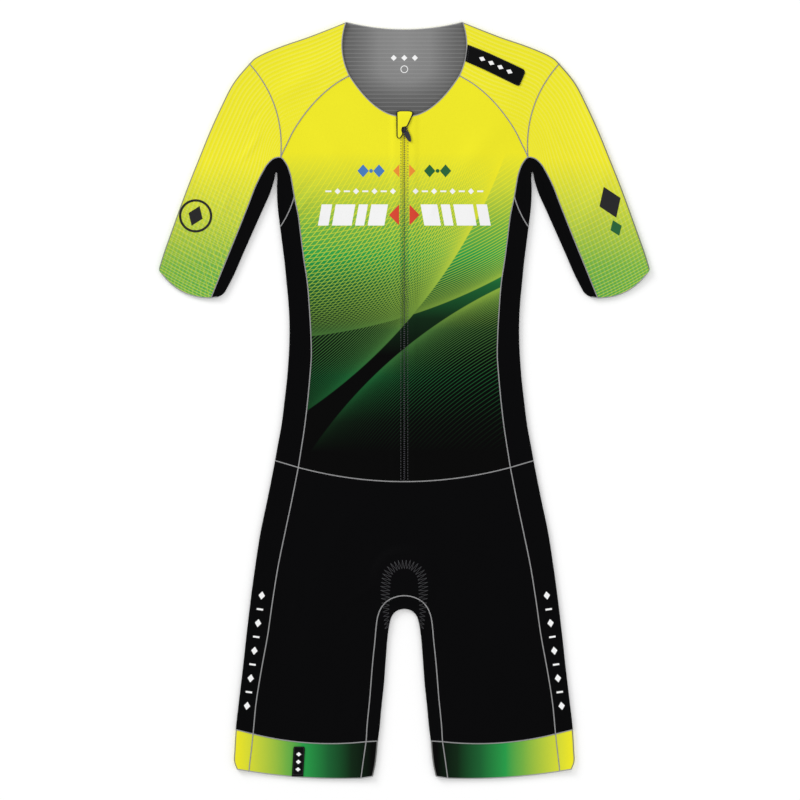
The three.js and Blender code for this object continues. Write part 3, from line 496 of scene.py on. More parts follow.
def section_points(start: np.ndarray, end: np.ndarray, bow: np.ndarray, share: np.ndarray) -> np.ndarray:
    """Points of some sections, bowed to one side.

    Args:
        start: Each section's first plan point.
        end: Each section's last plan point.
        bow: How far each section curves to its side.
        share: A row of shares of the way along for each section.

    Returns:
        A grid of plan points, a row for each section.
    """
    along = end - start
    sideways = np.column_stack([along[:, 1], -along[:, 0]])
    sideways /= np.linalg.norm(along, axis=1)[:, None]
    curve = 4 * bow[:, None] * share * (1 - share)
    straight = start[:, None] + share[:, :, None] * along[:, None]
    return straight + curve[:, :, None] * sideways[:, None]


@dataclass
class Weave:
    """Collects closed walls and threads, and makes one mesh of them. Lengths are millimetres."""

    vertices: list[np.ndarray] = field(default_factory=list)
    faces: list[np.ndarray] = field(default_factory=list)
    uv: list[np.ndarray] = field(default_factory=list)
    slots: list[np.ndarray] = field(default_factory=list)
    ribs: list[np.ndarray] = field(default_factory=list)
    count: int = 0

    def add(self, vertices: np.ndarray, faces: np.ndarray, uv: np.ndarray,
            slots: np.ndarray, ribs: np.ndarray) -> None:
        """Adds a closed surface of quads, turned so that it faces out.

        Args:
            vertices: Its points.
            faces: The four points of each quad, by number.
            uv: Each point's place on the flat cloth.
            slots: Each quad's material slot.
            ribs: How far up a rib each point lies, or -1 on a fold's rolled edge, which takes painted shade.
        """
        a, b, c, d = (vertices[faces[:, k]] for k in range(4))
        volume = np.einsum("ij,ij->", a, np.cross(b, c)) + np.einsum("ij,ij->", a, np.cross(c, d))
        turned = faces[:, ::-1] if volume < 0 else faces
        self.faces.append(turned + self.count)
        self.vertices.append(vertices)
        self.uv.append(uv)
        self.slots.append(slots)
        self.ribs.append(ribs)
        self.count += len(vertices)

    def wall(self, outer: np.ndarray, inner: np.ndarray, ribs: np.ndarray | None = None) -> None:
        """Adds a closed wall between two grids of points.

        Args:
            outer: The outer face's points, row by row.
            inner: The inner face's points, as many as the outer ones.
            ribs: How far up a rib each outer point lies, or -1 on a fold's rolled edge, which takes painted
                shade.
        """
        rows, columns = outer.shape[:2]
        index = np.arange(rows * columns).reshape(rows, columns)
        under = index + rows * columns
        cells = [np.stack([grid[:-1, :-1], grid[1:, :-1], grid[1:, 1:], grid[:-1, 1:]], -1)
                 for grid in (index, under)]
        top, bottom = (cell.reshape(-1, 4) for cell in cells)
        rim = np.concatenate([index[0, :-1], index[:-1, -1], index[-1, :0:-1], index[:0:-1, 0]])
        far = np.roll(rim, -1)
        edge = np.column_stack([rim, far, far + rows * columns, rim + rows * columns])
        wide = np.linalg.norm(np.diff(outer, axis=1), axis=2)
        long = np.linalg.norm(np.diff(outer, axis=0), axis=2).mean(1)
        u = np.hstack([np.zeros((rows, 1)), np.cumsum(wide, axis=1)])
        v = np.broadcast_to(np.concatenate([[0], np.cumsum(long)])[:, None], u.shape)
        uv = np.dstack([u, v]).reshape(-1, 2) * METRE
        shade = np.zeros(rows * columns) if ribs is None else ribs.ravel()
        self.add(
            np.vstack([outer.reshape(-1, 3), inner.reshape(-1, 3)]),
            np.vstack([top, bottom[:, ::-1], edge]),
            np.vstack([uv, uv]),
            np.concatenate([np.zeros(len(top)), np.ones(len(bottom)), np.zeros(len(edge))]),
            np.concatenate([shade, shade]),
        )

    def thread(self, points: np.ndarray, normals: np.ndarray, half_width: float,
               half_height: float, sides: int = 4) -> None:
        """Adds a thread or a flat ribbon along some points.

        Args:
            points: The thread's middle line.
            normals: The directions that its height points in.
            half_width: Half its width along the cloth.
            half_height: Half its height off the cloth.
            sides: How many sides it has.
        """
        along = np.gradient(points, axis=0)
        along /= np.linalg.norm(along, axis=1)[:, None]
        sideways = np.cross(normals, along)
        sideways /= np.linalg.norm(sideways, axis=1)[:, None]
        upward = np.cross(along, sideways)
        angles = 2 * math.pi * (np.arange(sides) + 0.5) / sides
        ring = half_width * np.cos(angles)[None, :, None] * sideways[:, None]
        ring = ring + half_height * np.sin(angles)[None, :, None] * upward[:, None]
        tube = points[:, None] + ring
        rows = len(points)
        index = np.arange(rows * sides).reshape(rows, sides)
        around = np.roll(index, -1, axis=1)
        skin = np.stack([index[:-1], index[1:], around[1:], around[:-1]], -1).reshape(-1, 4)
        ends = [row[[0, k - 1, k, k + 1]][None] for row in (index[0], index[-1, ::-1])
                for k in range(2, sides - 1, 2)]
        length = np.concatenate([[0], np.cumsum(np.linalg.norm(np.diff(points, axis=0), axis=1))])
        uv = np.dstack(np.broadcast_arrays(angles[None, :] * half_width, length[:, None]))
        self.add(tube.reshape(-1, 3), np.vstack([skin, *ends]), uv.reshape(-1, 2) * METRE,
                 np.zeros(len(skin) + len(ends)), np.zeros(rows * sides))

    def mesh(self, name: str, sharp: float = 50) -> bpy.types.Object:
        """Makes the mesh and its object.

        Args:
            name: The piece's name.
            sharp: Edges that turn by more than this many degrees stay sharp.

        Returns:
            The piece.
        """
        vertices, faces = np.vstack(self.vertices), np.vstack(self.faces)
        data = bpy.data.meshes.new(name)
        data.vertices.add(len(vertices))
        data.vertices.foreach_set("co", (vertices * METRE).astype(np.float32).ravel())
        data.loops.add(faces.size)
        data.loops.foreach_set("vertex_index", faces.astype(np.int32).ravel())
        data.polygons.add(len(faces))
        data.polygons.foreach_set("loop_start", np.arange(0, faces.size, 4, dtype=np.int32))
        data.polygons.foreach_set("material_index", np.concatenate(self.slots).astype(np.int32))
        data.polygons.foreach_set("use_smooth", np.ones(len(faces), bool))
        layer = data.uv_layers.new(name="cloth")
        layer.data.foreach_set("uv", np.vstack(self.uv)[faces.ravel()].astype(np.float32).ravel())
        rib = data.attributes.new("rib", "FLOAT", "POINT")
        rib.data.foreach_set("value", np.concatenate(self.ribs).astype(np.float32))
        data.update(calc_edges=True)
        data.set_sharp_from_angle(angle=math.radians(sharp))
        piece = bpy.data.objects.new(name, data)
        bpy.context.scene.collection.objects.link(piece)
        return piece


# A normal whose z is above this points straight up, within rounding
FACING_UP = 0.999


@dataclass
class Path3D:
    """A line on the suit's outer face, with the direction out of it at each point.

    raise_by is how far it stands over a smooth front, as on the ribs' crests.
    """

    points: np.ndarray
    normals: np.ndarray
    on_cloth: bool = True
    raise_by: float = 0.0

    def resampled(self, spacing: float) -> "Path3D":
        """Spaces the line's points evenly.

        Args:
            spacing: The distance that they aim at.

        Returns:
            The same line with the new points.
        """
        reach = np.concatenate([[0], np.cumsum(np.linalg.norm(np.diff(self.points, axis=0), axis=1))])
        count = max(2, round(reach[-1] / spacing) + 1)
        at = np.linspace(0, reach[-1], count)
        points, normals = (np.column_stack([np.interp(at, reach, column) for column in grid.T])
                           for grid in (self.points, self.normals))
        normals /= np.linalg.norm(normals, axis=1)[:, None]
        return Path3D(points, normals, self.on_cloth, self.raise_by)

    def shifted(self, across: np.ndarray | float, lift: float) -> np.ndarray:
        """Moves the line's points along the cloth and off it.

        Args:
            across: How far to the side, for all the points or for each.
            lift: How far off the cloth.

        Returns:
            The moved points.
        """
        along = np.gradient(self.points, axis=0)
        sideways = np.cross(self.normals, along)
        sideways /= np.linalg.norm(sideways, axis=1)[:, None]
        moved = self.points + sideways * np.reshape(across, (-1, 1))
        laid = (self.normals[:, 2] > FACING_UP) & self.on_cloth
        moved[laid, 2] = cloth_top(moved[laid, 0], moved[laid, 1])
        crest = self.raise_by * np.clip(self.normals[:, 2:], 0, 1)
        return moved + self.normals * (lift + crest)

    def mirrored(self) -> "Path3D":
        """The same line on the suit's other side."""
        flip = np.array([-1, 1, 1])
        return Path3D(self.points * flip, self.normals * flip, self.on_cloth, self.raise_by)


def plan_path(plan: np.ndarray, layer: Layer = Layer.FRONT, raise_by: float = 0.0) -> Path3D:
    """The line on one layer's outer face over or under some plan points.

    Args:
        plan: The plan points.
        layer: Which layer.
        raise_by: How far the line stands over a smooth front, as on the ribs' crests.

    Returns:
        The line.
    """
    if layer is Layer.FRONT:
        height, normal = cloth_top(plan[:, 0], plan[:, 1]), (0, 0, 1)
    else:
        height, normal = np.zeros(len(plan)), (0, 0, -1)
    normals = np.tile(np.array(normal, float), (len(plan), 1))
    return Path3D(np.column_stack([plan, height]), normals, raise_by=raise_by)


def plan_area(plan: np.ndarray) -> float:
    """The area of a grid of plan points."""
    first = plan[1:, 1:] - plan[:-1, :-1]
    second = plan[1:, :-1] - plan[:-1, 1:]
    return float(np.abs(first[..., 0] * second[..., 1] - first[..., 1] * second[..., 0]).sum() / 2)


@dataclass
class FoldedCloth:
    """A piece folded over an edge of the suit, row by row from its fold to its two seams."""

    fold: np.ndarray
    front: np.ndarray
    back: np.ndarray
    front_bow: np.ndarray
    back_bow: np.ndarray
    spacing: float = STRIP_SPACING
    ribbed: bool = False

    ARC_STEPS = 7
    FOLD_SHADE_STEPS = 6
    CORNER_STEPS = 6
    ARC_MARGIN = 1.02

    def on(self, side: Side) -> "FoldedCloth":
        """The same piece on a side of the suit."""
        flip = np.array([side.value, 1])
        return replace(self, fold=self.fold * flip, front=self.front * flip, back=self.back * flip,
                       front_bow=self.front_bow * side.value, back_bow=self.back_bow * side.value)

    def layer_points(self, layer: Layer, radius: float) -> tuple[np.ndarray, np.ndarray]:
        """One layer's plan points, from the fold to the seam.

        Args:
            layer: Which layer.
            radius: How far the face lies from the fold's middle line.

        Returns:
            The plan points, and each one's distance from the fold.
        """
        end, bow = (self.front, self.front_bow) if layer is Layer.FRONT else (self.back, self.back_bow)
        length = np.linalg.norm(end - self.fold, axis=1)
        step = RIB_COLUMN if self.ribbed and layer is Layer.FRONT else self.spacing
        steps = max(2, math.ceil(length.max() / step))
        arc = FOLD_RADIUS - radius * np.cos(np.linspace(0, math.pi / 2, self.ARC_STEPS + 1))
        level = (length - FOLD_RADIUS - SEAM_INSET)[:, None] * np.arange(1, steps + 1) / steps
        distances = np.hstack([np.tile(arc, (len(length), 1)), FOLD_RADIUS + level])
        return section_points(self.fold, end, bow, distances / length[:, None]), distances

    def face(self, drop: float) -> tuple[np.ndarray, np.ndarray]:
        """One face, from the front seam round the fold to the back seam.

        Args:
            drop: How far the face lies inside the outer one.

        Returns:
            The face's points, and how far up a rib each one lies, or -1 on the fold's rolled edge, which
            takes painted shade.
        """
        radius = FOLD_RADIUS - drop
        top, distances = self.layer_points(Layer.FRONT, radius)
        bottom, _ = self.layer_points(Layer.BACK, radius)
        rise = radius * np.sin(np.linspace(0, math.pi / 2, self.ARC_STEPS + 1))
        height = cloth_top(top[..., 0], top[..., 1]) - drop
        ribs = np.zeros_like(height)
        if self.ribbed and drop == 0:
            phase = (distances - FOLD_RADIUS) / RIB_PITCH
            ribs = (0.5 - 0.5 * np.cos(2 * math.pi * phase)) * (distances > FOLD_RADIUS)
            height += RIB_HEIGHT * ribs
        # Marks the fold's rolled edge, which is painted grey as shade
        ribs[:, : self.FOLD_SHADE_STEPS] = -1
        height[:, : self.ARC_STEPS + 1] = FOLD_RADIUS + rise
        depth = np.full(bottom.shape[:2], float(drop))
        if drop == 0:
            depth += crease_height(BACK_CREASES, bottom[..., 0], bottom[..., 1])
        depth[:, : self.ARC_STEPS + 1] = FOLD_RADIUS - rise
        grid = np.hstack([raised(top, height)[:, ::-1], raised(bottom, depth)[:, 1:]])
        return grid, np.hstack([ribs[:, ::-1], np.zeros((len(ribs), bottom.shape[1] - 1))])

    def add_to(self, weave: Weave) -> None:
        """Adds the piece's closed wall."""
        outer, ribs = self.face(0)
        inner, _ = self.face(WALL)
        weave.wall(outer, inner, ribs)

    def cut(self) -> tuple[float, float, float]:
        """Lays the piece out flat.

        Returns:
            Its width across the fold, its length along it, and its area.
        """
        half_turn = math.pi * FOLD_RADIUS - 2 * FOLD_RADIUS
        wide = np.linalg.norm(self.front - self.fold, axis=1) + half_turn
        wide += np.linalg.norm(self.back - self.fold, axis=1)
        lengths = [np.linalg.norm(np.diff(edge, axis=0), axis=1).sum()
                   for edge in (self.fold, self.front, self.back)]
        area = sum(plan_area(self.layer_points(layer, FOLD_RADIUS)[0]) for layer in Layer)
        return wide.max(), max(lengths), area + half_turn * lengths[0]

    def rounded(self, radius: float, first: bool) -> "FoldedCloth":
        """The same piece with a rounded corner where its fold meets an open end.

        Args:
            radius: The corner's radius.
            first: Whether the open end is the first row, or the last one.

        Returns:
            The piece, with closer rows round the corner.
        """
        rows = np.column_stack([self.fold, self.front, self.back, self.front_bow, self.back_bow])
        rows = rows if first else rows[::-1]
        reach = np.concatenate([[0], np.cumsum(np.linalg.norm(np.diff(rows[:, :2], axis=0), axis=1))])
        turned = radius * (1 - np.cos(np.linspace(0, math.pi / 2, self.CORNER_STEPS + 1)))
        at = np.union1d(reach, turned)
        rows = np.column_stack([np.interp(at, reach, column) for column in rows.T])
        into = np.clip(1 - at / radius, 0, 1)
        inward = rows[:, 2:4] - rows[:, :2]
        inward /= np.linalg.norm(inward, axis=1)[:, None]
        rows[:, :2] += radius * (1 - np.sqrt(1 - into ** 2))[:, None] * inward
        rows = rows if first else rows[::-1]
        return replace(self, fold=rows[:, :2], front=rows[:, 2:4], back=rows[:, 4:6],
                       front_bow=rows[:, 6], back_bow=rows[:, 7])

    def end_path(self, row: int) -> Path3D:
        """The line along one of the piece's rows, round the fold on its outer face.

        Args:
            row: The row's number.

        Returns:
            The line.
        """
        plain = FoldedCloth(*(part[[row, row]] for part in (
            self.fold, self.front, self.back, self.front_bow, self.back_bow)))
        points = plain.face(0)[0][0]
        out = np.zeros_like(points)
        middle = np.append(self.fold[row], FOLD_RADIUS)
        inward = np.append(self.front[row] - self.fold[row], 0)
        middle = middle + FOLD_RADIUS * inward / np.linalg.norm(inward)
        turning = (points - middle) / FOLD_RADIUS
        on_arc = np.linalg.norm(turning, axis=1) < self.ARC_MARGIN
        out[:, 2] = np.where(points[:, 2] > FOLD_RADIUS, 1, -1)
        out[on_arc] = turning[on_arc]
        lift = RIB_HEIGHT if self.ribbed else 0.0
        return Path3D(points, out / np.linalg.norm(out, axis=1)[:, None], raise_by=lift)


def shoulder_piece(first: int, last: int) -> FoldedCloth:
    """The yoke or the sleeve.

    Args:
        first: The shoulder fold's knot where the piece starts.
        last: The knot where it ends.

    Returns:
        The piece.
    """
    knots = SHOULDER_FOLD.knots(first, last, ROW_SPACING)
    bow = between(SHOULDER_BOWS, knots)
    if last <= YOKE_KNOTS:
        front, back = YOKE_SEAM.at(knots), YOKE_BACK_SEAM.at(knots)
        back_bow = between(YOKE["backBow"], knots)
    else:
        front = back = UNDERARM_LINE.at(SLEEVE_KNOTS - (knots - YOKE_KNOTS))
        back_bow = bow
    return FoldedCloth(SHOULDER_FOLD.at(knots), front, back, bow, back_bow, ribbed=True)


def strip(fold: Line, seam: Line, first: int, last: int, seam_first: int) -> FoldedCloth:
    """A plain strip folded over an edge.

    Args:
        fold: The line of its fold.
        seam: The line of its seam, the same in front and behind.
        first: The fold's knot where it starts.
        last: The fold's knot where it ends.
        seam_first: The seam's knot where it starts.

    Returns:
        The strip.
    """
    knots = fold.knots(first, last, ROW_SPACING)
    seam_knots = knots - first + seam_first
    ends = seam.at(seam_knots)
    bow = between(UNDERARM_BOWS, seam_knots) if seam is UNDERARM_LINE else np.zeros(len(knots))
    return FoldedCloth(fold.at(knots), ends, ends, bow, bow)


def folded_forms() -> dict[str, FoldedCloth]:
    """Every piece that is folded over an edge of the suit, on the wearer's left.

    Returns:
        The forms by their names.
    """
    leg_end = SIDE_KNOTS + LEG_KNOTS
    inner_end = MIDDLE_KNOT + HALF_KNOTS
    sleeve = shoulder_piece(YOKE_KNOTS, YOKE_KNOTS + SLEEVE_KNOTS)
    underarm = strip(OUTER_FOLD, UNDERARM_LINE, 0, ARMPIT_KNOTS, 0)
    return {
        "yoke": shoulder_piece(0, YOKE_KNOTS),
        "sleeve": sleeve.rounded(CUFF_CORNER, first=False),
        "underarm": underarm.rounded(UNDERARM_CORNER, first=True),
        "side": strip(OUTER_FOLD, UNDERARM_LINE, ARMPIT_KNOTS, SIDE_KNOTS, ARMPIT_KNOTS),
        "shorts_side": strip(OUTER_FOLD, LEG_SIDE, SIDE_KNOTS, leg_end, 0),
        "band_outer": strip(OUTER_FOLD, LEG_SIDE, leg_end, leg_end + BAND_KNOTS, LEG_KNOTS),
        "band_inner": strip(INNER_FOLD, GUSSET_SEAM, inner_end, inner_end + BAND_KNOTS, inner_end),
    }


@dataclass
class PanelCloth:
    """A panel that lies in one layer, from a grid of plan points."""

    plan: np.ndarray
    layer: Layer

    def on(self, side: Side) -> "PanelCloth":
        """The same panel on a side of the suit."""
        return PanelCloth(self.plan * (side.value, 1), self.layer)

    def cut(self) -> tuple[float, float, float]:
        """The flat panel's width, length and area."""
        width, length = np.ptp(self.plan, axis=(0, 1))
        return width, length, plan_area(self.plan)

    def add_to(self, weave: Weave) -> None:
        """Adds the panel's closed wall.

        Args:
            weave: Takes the wall.
        """
        x, y = self.plan[..., 0], self.plan[..., 1]
        if self.layer is Layer.FRONT:
            top = cloth_top(x, y)
            weave.wall(raised(self.plan, top), raised(self.plan, top - WALL))
        else:
            under = crease_height(BACK_CREASES, x, y)
            weave.wall(raised(self.plan, under), raised(self.plan, BACK_WALL))


def patch(top: np.ndarray, outer: np.ndarray, bottom: np.ndarray, inner: np.ndarray) -> np.ndarray:
    """A grid of plan points that its four edges lead smoothly into each other.

    Args:
        top: The first row, from the inner edge to the outer edge.
        outer: The last column, from top to bottom.
        bottom: The last row.
        inner: The first column.

    Returns:
        The grid.
    """
    u = np.linspace(0, 1, len(top))[None, :, None]
    v = np.linspace(0, 1, len(outer))[:, None, None]
    ruled = (1 - v) * top[None] + v * bottom[None] + (1 - u) * inner[:, None] + u * outer[:, None]
    corners = (1 - u) * (1 - v) * top[0] + u * (1 - v) * top[-1]
    return ruled - corners - (1 - u) * v * bottom[0] - u * v * bottom[-1]


def inset(grid: np.ndarray, start: bool = True, end: bool = True, near: bool = True,
          far: bool = True) -> np.ndarray:
    """Moves a grid's sewn edges in by the seam inset.

    Args:
        grid: The plan grid.
        start: Whether its first row is sewn.
        end: Whether its last row is sewn.
        near: Whether its first column is sewn.
        far: Whether its last column is sewn.

    Returns:
        The moved grid.
    """
    moved = grid.copy()
    for sewn, edge, inside in ((start, 0, 1), (end, -1, -2)):
        if sewn:
            step = grid[inside] - grid[edge]
            moved[edge] += SEAM_INSET * step / np.linalg.norm(step, axis=1)[:, None]
    for sewn, edge, inside in ((near, 0, 1), (far, -1, -2)):
        if sewn:
            step = moved[:, inside] - moved[:, edge]
            moved[:, edge] += SEAM_INSET * step / np.linalg.norm(step, axis=1)[:, None]
    return moved


def torso_grid(layer: Layer) -> np.ndarray:
    """The torso's half on the wearer's left.

    Args:
        layer: The front or the back.

    Returns:
        The half's plan grid, from the neck and the yoke seam down to the waist.
    """
    across = np.linspace(0, 1, TORSO_COLUMNS)
    if layer is Layer.FRONT:
        seam, inner_x, neck_end = YOKE_SEAM, ZIP_SLIT_HALF, NECK_KNOTS
        knots = across * (neck_end + YOKE_KNOTS)
        x = inner_x + (NECK_HALF - inner_x) * knots / NECK_KNOTS
        neck = np.column_stack([x, neck_y(x)])
    else:
        seam, inner_x, neck_end = YOKE_BACK_SEAM, 0, NECK_KNOTS + 1
        knots = across * (neck_end + YOKE_KNOTS)
        share = np.minimum(knots / NECK_KNOTS, 1)
        folded, sewn = points_of(YOKE, "fold")[0], points_of(YOKE, "back")[0]
        neck = np.column_stack([folded[0] * share, BACK_NECK_Y + BACK_NECK_RISE * share ** 2])
        neck += np.clip(knots - NECK_KNOTS, 0, 1)[:, None] * (sewn - folded)
    top = np.where(knots[:, None] <= neck_end, neck, seam.at(np.maximum(knots - neck_end, 0)))
    outer = UNDERARM_LINE.at(np.linspace(SLEEVE_KNOTS, SIDE_KNOTS, TORSO_ROWS))
    waist_x = inner_x + (WAIST_HALF - inner_x) * across
    bottom = np.column_stack([waist_x, waist_y(waist_x)])
    share = np.linspace(0, 1, TORSO_ROWS)[:, None]
    inner = (1 - share) * top[0] + share * bottom[0]
    return patch(top, outer, bottom, inner)


def shorts_grid() -> np.ndarray:
    """The shorts' front and back.

    Returns:
        Their plan grid, from one band round the crotch to the other.
    """
    knots = LEG_SIDE.knots(0, LEG_KNOTS, PANEL_SPACING)[1:] + CROTCH_KNOTS
    waist = np.linspace(0, CROTCH_KNOTS, CROTCH_ROWS)
    half = np.concatenate([waist, knots])
    gusset = GUSSET_SEAM.at(half + MIDDLE_KNOT)
    waist_x = np.interp(half, np.arange(CROTCH_KNOTS + 1), CROTCH["waistX"])
    on_waist = np.column_stack([waist_x, waist_y(waist_x)])
    on_side = LEG_SIDE.at(np.maximum(half - CROTCH_KNOTS, 0))
    edge = np.where(half[:, None] <= CROTCH_KNOTS, on_waist, on_side)
    share = np.tile(np.linspace(0, 1, SHORTS_COLUMNS), (len(half), 1))
    left = section_points(gusset, edge, between(LEG_BOWS, half), share)
    return np.vstack([left[:0:-1] * (-1, 1), left])


def band_grid() -> np.ndarray:
    """A leg band's front and back.

    Returns:
        Their plan grid on the wearer's left, from the leg down to the hem.
    """
    knots = np.linspace(0, BAND_KNOTS, BAND_ROWS)
    gusset = GUSSET_SEAM.at(knots + MIDDLE_KNOT + HALF_KNOTS)
    side = LEG_SIDE.at(knots + LEG_KNOTS)
    share = np.tile(np.linspace(0, 1, BAND_COLUMNS), (len(knots), 1))
    return section_points(gusset, side, between(BAND["bow"], knots), share)


FORMS = folded_forms()


def colour(red: float, green: float, blue: float) -> Colour:
    """A colour for Blender, from its sRGB shares of 255."""
    shares = [part / 255 for part in (red, green, blue)]
    linear = [s / 12.92 if s <= 0.04045 else ((s + 0.055) / 1.055) ** 2.4 for s in shares]
    return (linear[0], linear[1], linear[2], 1.0)


@dataclass
class Graph:
    """Adds nodes to a node tree and links them."""

    tree: bpy.types.NodeTree

    def node(self, kind: str, **settings: object) -> bpy.types.Node:
        """A new node with some of its properties set."""
        made = self.tree.nodes.new(kind)
        for name, value in settings.items():
            setattr(made, name, value)
        return made

    def feed(self, socket: bpy.types.NodeSocket, source: object) -> None:
        """Links a socket to the source, or sets it to the source's value."""
        if isinstance(source, bpy.types.NodeSocket):
            self.tree.links.new(source, socket)
        else:
            socket.default_value = source

    def maths(self, operation: str, *values: object) -> bpy.types.NodeSocket:
        """The result of a Math node."""
        made = self.node("ShaderNodeMath", operation=operation)
        for socket, value in zip(made.inputs, values):
            self.feed(socket, value)
        return made.outputs[0]

    def span(self, value: object, low: object, high: object,
             curve: str = "SMOOTHSTEP") -> bpy.types.NodeSocket:
        """Where a value lies in a span, held at its ends.

        Args:
            value: The value.
            low: The value that gives 0.
            high: The value that gives 1.
            curve: How the result runs between them.

        Returns:
            The share, from 0 to 1.
        """
        made = self.node("ShaderNodeMapRange", interpolation_type=curve)
        for socket, part in zip(made.inputs, (value, low, high)):
            self.feed(socket, part)
        return made.outputs[0]

    def mix(self, share: object, first: object, second: object) -> bpy.types.NodeSocket:
        """A share of the second colour over the first."""
        made = self.node("ShaderNodeMix", data_type="RGBA")
        for index, part in ((0, share), (6, first), (7, second)):
            self.feed(made.inputs[index], part)
        return made.outputs[2]

    def ramp(self, value: object, stops: Sequence[tuple[float, Colour]]) -> bpy.types.NodeSocket:
        """Reads a colour ramp.

        Args:
            value: Where it is read, from 0 to 1.
            stops: The ramp's places and their colours.

        Returns:
            The colour there.
        """
        made = self.node("ShaderNodeValToRGB")
        elements = made.color_ramp.elements
        elements[0].position, elements[0].color = stops[0]
        elements[1].position, elements[1].color = stops[-1]
        for place, shade in stops[1:-1]:
            elements.new(place).color = shade
        self.feed(made.inputs[0], value)
        return made.outputs[0]

    def axis(self, vector: object, index: int) -> bpy.types.NodeSocket:
        """One part of a vector."""
        made = self.node("ShaderNodeSeparateXYZ")
        self.feed(made.inputs[0], vector)
        return made.outputs[index]

    def group(self, tree: bpy.types.NodeTree, **values: object) -> bpy.types.Node:
        """A group's node with its inputs fed."""
        made = self.node("ShaderNodeGroup")
        made.node_tree = tree
        for name, value in values.items():
            self.feed(made.inputs[name], value)
        return made

    def bump(self, surface: bpy.types.Node, height: object, strength: float, depth: float) -> None:
        """Raises a surface.

        Args:
            surface: Its shader.
            height: The height, from 0 to 1.
            strength: How much of the height is seen.
            depth: The height of 1, in millimetres.
        """
        made = self.node("ShaderNodeBump")
        made.inputs["Strength"].default_value = strength
        made.inputs["Distance"].default_value = depth * METRE
        self.feed(made.inputs["Height"], height)
        self.feed(surface.inputs["Normal"], made.outputs["Normal"])


def group_tree(name: str, inputs: dict[str, str], outputs: dict[str, str]) -> tuple[
        bpy.types.NodeTree, Graph, bpy.types.Node, bpy.types.Node]:
    """An empty shader node group.

    Args:
        name: The group's name.
        inputs: Each input's name and kind of socket.
        outputs: Each output's name and kind of socket.

    Returns:
        The group, its graph, and its input and output nodes.
    """
    tree = bpy.data.node_groups.new(name, "ShaderNodeTree")
    for way, sockets in (("INPUT", inputs), ("OUTPUT", outputs)):
        for socket_name, kind in sockets.items():
            tree.interface.new_socket(socket_name, in_out=way, socket_type=f"NodeSocket{kind}")
    graph = Graph(tree)
    return tree, graph, graph.node("NodeGroupInput"), graph.node("NodeGroupOutput")


# The knit: how far its loops lean, the relief of its loops and its wales, and the heights
# between which a hollow, and the painted shade in it, begins and is full
LOOP_LEAN, LOOP_RELIEF, WALE_RELIEF = 0.35, 0.25, 0.6
HOLLOW_START, HOLLOW_FULL = 0.3, -0.1

# The dye's unevenness: the scale, detail and share of its broad and its fine noise
TONE_NOISES = ((9.0, 2.0, 0.6), (900.0, 1.0, 0.4))

# The printed arcs: where a line's edge begins and its core is full, in its own half widths, how
# soon the rim cuts them off and where they fade out, as shares of the way in, and the least depth
ARC_EDGE, ARC_CORE = 1.5, 0.5
ARC_RIM, ARC_FADE = 0.004, 0.45
ARC_LEAST_DEPTH = 0.0005


def knit_group() -> bpy.types.NodeTree:
    """A fine knit: its height, and a mask of the hollows between the stitches, where shade is painted.

    Returns:
        The group, from a place and a pitch to the height and the mask.
    """
    tree, graph, into, out = group_tree(
        "fine_knit", {"Vector": "Vector", "Pitch": "Float"}, {"Height": "Float", "Hollow": "Float"})
    wale = graph.maths("DIVIDE", graph.axis(into.outputs["Vector"], 0), into.outputs["Pitch"])
    course = graph.maths("DIVIDE", graph.axis(into.outputs["Vector"], 1), into.outputs["Pitch"])
    crest = graph.maths("MULTIPLY", graph.maths("PINGPONG", wale, 0.5), 2.0)
    lean = graph.maths("MULTIPLY", crest, LOOP_LEAN)
    loops = graph.maths("SINE", graph.maths("MULTIPLY", graph.maths("ADD", course, lean), 2 * math.pi))
    height = graph.maths("MULTIPLY_ADD", loops, LOOP_RELIEF, graph.maths("MULTIPLY", crest, WALE_RELIEF))
    graph.feed(out.inputs["Height"], height)
    graph.feed(out.inputs["Hollow"], graph.span(height, HOLLOW_START, HOLLOW_FULL))
    return tree


def tone_group() -> bpy.types.NodeTree:
    """Broad and fine unevenness of a dyed cloth, from 0 to 1.

    Returns:
        The group, from a place to the tone.
    """
    tree, graph, into, out = group_tree("cloth_tone", {"Vector": "Vector"}, {"Tone": "Float"})
    tone = 0.0
    for scale, detail, share in TONE_NOISES:
        noise = graph.node("ShaderNodeTexNoise")
        graph.feed(noise.inputs["Vector"], into.outputs["Vector"])
        graph.feed(noise.inputs["Scale"], scale)
        graph.feed(noise.inputs["Detail"], detail)
        tone = graph.maths("MULTIPLY_ADD", noise.outputs[0], share, tone)
    graph.feed(out.inputs["Tone"], tone)
    return tree


